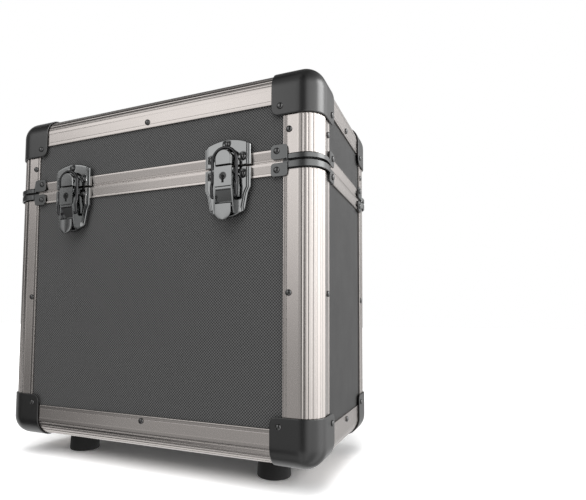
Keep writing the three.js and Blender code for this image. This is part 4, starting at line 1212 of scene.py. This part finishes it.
# How bright the studio is to reflections, seen from the case: by the way round from the front, with
# the right positive, and by the angle above level, both in degrees. Walls of light stand all round
# and lean below 20 degrees. A tall soft box on the right has a hotter core. Light comes from low
# down too, with a shade before it in front. Two dark cards stand before the left wall.
WALLS_AROUND = [
    (-180, 0.5), (-112, 0.5), (-98, 0.2), (-72, 0.12), (-62, 0.16), (-56, 0.3), (-52.5, 0.8),
    (-48.5, 0.85), (-46, 1.15), (-38, 1.1), (-14, 1.15), (-11, 0.2), (10, 0.12), (35, 0.2),
    (60, 0.3), (140, 0.25), (160, 0.22), (174, 0.3), (180, 0.5)]
WALLS_ABOVE = [
    (-90, 0.45), (-60, 0.45), (-40, 0.38), (-20, 0.36), (-13, 0.42), (-7, 0.37), (0, 0.5),
    (11, 0.92), (20, 1.2), (33, 1.25), (42, 0.8), (50, 0.45), (60, 0.3), (90, 0.3)]
WALL_LEAN = 0.25
BOX = (
    [(19, 0), (26, 0.9), (40, 1.3), (80, 1.3), (122, 1.2), (148, 1.1), (160, 0.5), (168, 0)],
    [(-90, 0.05), (-30, 0.35), (-13, 0.6), (-3, 0.85), (8, 1), (30, 1), (45, 0.5), (60, 0.2), (90, 0)])
CORE = (
    [(80, 0), (88, 4.6), (114, 4.6), (126, 0)],
    [(-20, 0.1), (10, 0.12), (18, 0.2), (24, 1), (40, 1), (46, 0)])
LOW_LIGHT = (
    [(-180, 1), (-76, 1), (-66, 0), (-12, 0), (-4, 0.7), (30, 0.7), (50, 0.15), (150, 0.15),
     (164, 0.4), (174, 1), (180, 1)],
    [(-90, 0.3), (-60, 0.7), (-22, 0.7), (-12, 0.55), (-3, 0.4), (4, 0)])
FRONT_SHADE = (
    [(-14, 0), (-8, 1), (34, 1), (40, 0)],
    [(-26, 0), (-20, 0.85), (10, 0.85), (11, 0)])
CARD = (
    [(-47, 0), (-45.5, 0.85), (-38, 0.85), (-36, 0)],
    [(3, 0), (6, 1), (18.5, 1), (20, 0)])
LOW_CARD = (
    [(-60, 0), (-54, 0.85), (-18, 0.85), (-13, 0)],
    [(-41, 0), (-37, 1), (-27, 1), (-22, 0)])

# Name, strength, width of the disc, tilt from straight above and turn of each lamp, in degrees
LAMPS = (("key lamp", 0.85, 25, 55, 80), ("front lamp", 1.35, 40, 42, 4), ("top lamp", 0.9, 30, 12, 20))


def reflected_level(around, above):
    """How bright the surroundings are in one direction."""
    def at(patch):
        return between(patch[0], around) * between(patch[1], above)

    leaned = around - WALL_LEAN * max(0, min(40, 20 - above))
    walls = between(WALLS_AROUND, leaned) * between(WALLS_ABOVE, above)
    walls *= (1 - at(CARD)) * (1 - at(LOW_CARD))
    return walls + at(BOX) + at(CORE) + at(LOW_LIGHT) * (1 - at(FRONT_SHADE))


def surroundings():
    """The dome that only reflections see, with its light painted on it point by point."""
    around_steps, above_steps = 180, 90
    points, faces, levels = [], [], []
    for ring in range(above_steps + 1):
        above = -90 + 180 * ring / above_steps
        rise, flat = math.sin(math.radians(above)), math.cos(math.radians(above))
        for step in range(around_steps):
            around = -180 + 360 * step / around_steps
            points.append((DOME_DISTANCE * flat * math.sin(math.radians(around)),
                           -DOME_DISTANCE * flat * math.cos(math.radians(around)),
                           DOME_DISTANCE * rise + SEAM * MM / 2))
            levels.append(reflected_level(around, above))
            if ring < above_steps:
                here = ring * around_steps + step
                after = ring * around_steps + (step + 1) % around_steps
                faces.append((here, after, after + around_steps, here + around_steps))
    mesh = bpy.data.meshes.new("surroundings")
    mesh.from_pydata(points, [], faces)
    shade = mesh.color_attributes.new("level", "FLOAT_COLOR", "POINT")
    for spot, level in zip(shade.data, levels):
        spot.color = (level, level, level, 1)
    glow = bpy.data.materials.new("studio_walls_lit")
    glow.use_nodes = True
    tree = glow.node_tree
    tree.nodes.clear()
    painted = add(tree, "Attribute", output="Color", attribute_name="level")
    light = add(tree, "Emission", {"Color": painted})
    add(tree, "OutputMaterial", {"Surface": light})
    glow.cycles.emission_sampling = "NONE"
    mesh.materials.append(glow)
    shell = bpy.data.objects.new("surroundings", mesh)
    bpy.context.scene.collection.objects.link(shell)
    for rays in ("camera", "diffuse", "transmission", "shadow"):
        setattr(shell, f"visible_{rays}", False)


def background(scene):
    """A world that is white where it is seen and lights the case weakly."""
    world = bpy.data.worlds.new("white surroundings")
    scene.world = world
    world.use_nodes = True
    tree = world.node_tree
    ray = add(tree, "LightPath").node.outputs
    seen = add(tree, "Math", {0: ray["Is Camera Ray"], 1: ray["Is Glossy Ray"]}, operation="MAXIMUM")
    through = add(tree, "Math", {0: seen, 1: ray["Is Transmission Ray"]}, operation="MAXIMUM")
    level = add(tree, "MapRange", {"Value": through, "To Min": WORLD_LEVEL, "To Max": 1})
    sky = tree.nodes["Background"]
    sky.inputs["Color"].default_value = linear("#ffffff")
    tree.links.new(level, sky.inputs["Strength"])


def paper_floor(scene):
    mesh = bpy.data.meshes.new("floor")
    corners = [(x * FLOOR_REACH, y * FLOOR_REACH, 0) for x, y in ((-1, -1), (1, -1), (1, 1), (-1, 1))]
    mesh.from_pydata(corners, [], [(0, 1, 2, 3)])
    floor = bpy.data.objects.new("floor", mesh)
    scene.collection.objects.link(floor)
    paper, tree, shader = material("paper_pale_matt", Roughness=0.6, Base_Color=linear("#f2f2f2"))
    # the camera sees the paper burnt out to white, as it is where a product is cut out, while
    # the case sees plain paper
    bright = add(tree, "BsdfDiffuse", {"Color": (PAPER_LEVEL, PAPER_LEVEL, PAPER_LEVEL, 1)})
    seen = add(tree, "LightPath", output="Is Camera Ray")
    both = add(tree, "MixShader", {0: seen, 1: shader.outputs[0], 2: bright})
    tree.links.new(both, tree.nodes["Material Output"].inputs["Surface"])
    mesh.materials.append(paper)
    floor.visible_glossy = False


def lamps(scene):
    for name, strength, disc, tilt, turn in LAMPS:
        lamp = bpy.data.lights.new(name, "SUN")
        lamp.energy = strength
        lamp.angle = math.radians(disc)
        holder = bpy.data.objects.new(name, lamp)
        holder.rotation_euler = (math.radians(tilt), 0, math.radians(turn))
        holder.visible_glossy = False
        scene.collection.objects.link(holder)


def photo_camera(scene):
    """The camera where the photograph was taken from, as fitted to its edges."""
    ahead = Vector((math.sin(CAMERA_YAW) * math.cos(CAMERA_PITCH),
                    math.cos(CAMERA_YAW) * math.cos(CAMERA_PITCH), math.sin(CAMERA_PITCH)))
    level_right = Vector((math.cos(CAMERA_YAW), -math.sin(CAMERA_YAW), 0))
    level_up = level_right.cross(ahead)
    right = math.cos(CAMERA_ROLL) * level_right + math.sin(CAMERA_ROLL) * level_up
    up = -math.sin(CAMERA_ROLL) * level_right + math.cos(CAMERA_ROLL) * level_up
    eye = Vector((LEFT + CAMERA_IN, FRONT - CAMERA_BEFORE, BOTTOM + CAMERA_ABOVE)) * MM
    data = bpy.data.cameras.new("camera")
    data.sensor_width = SENSOR_WIDTH
    data.lens = FOCAL_LENGTH / IMAGE_WIDTH * SENSOR_WIDTH
    data.shift_x = (IMAGE_WIDTH / 2 - VANISHING_X) / IMAGE_WIDTH
    data.shift_y = (VANISHING_Y - IMAGE_HEIGHT / 2) / IMAGE_WIDTH
    camera = bpy.data.objects.new("camera", data)
    scene.collection.objects.link(camera)
    camera.matrix_world = Matrix((
        (right.x, up.x, -ahead.x, eye.x), (right.y, up.y, -ahead.y, eye.y),
        (right.z, up.z, -ahead.z, eye.z), (0, 0, 0, 1)))
    scene.camera = camera


def studio():
    """Pale floor, white background, soft lamps, and surroundings that only reflections see."""
    scene = bpy.context.scene
    background(scene)
    paper_floor(scene)
    surroundings()
    lamps(scene)
    photo_camera(scene)
    scene.view_settings.view_transform = "Standard"


studio()
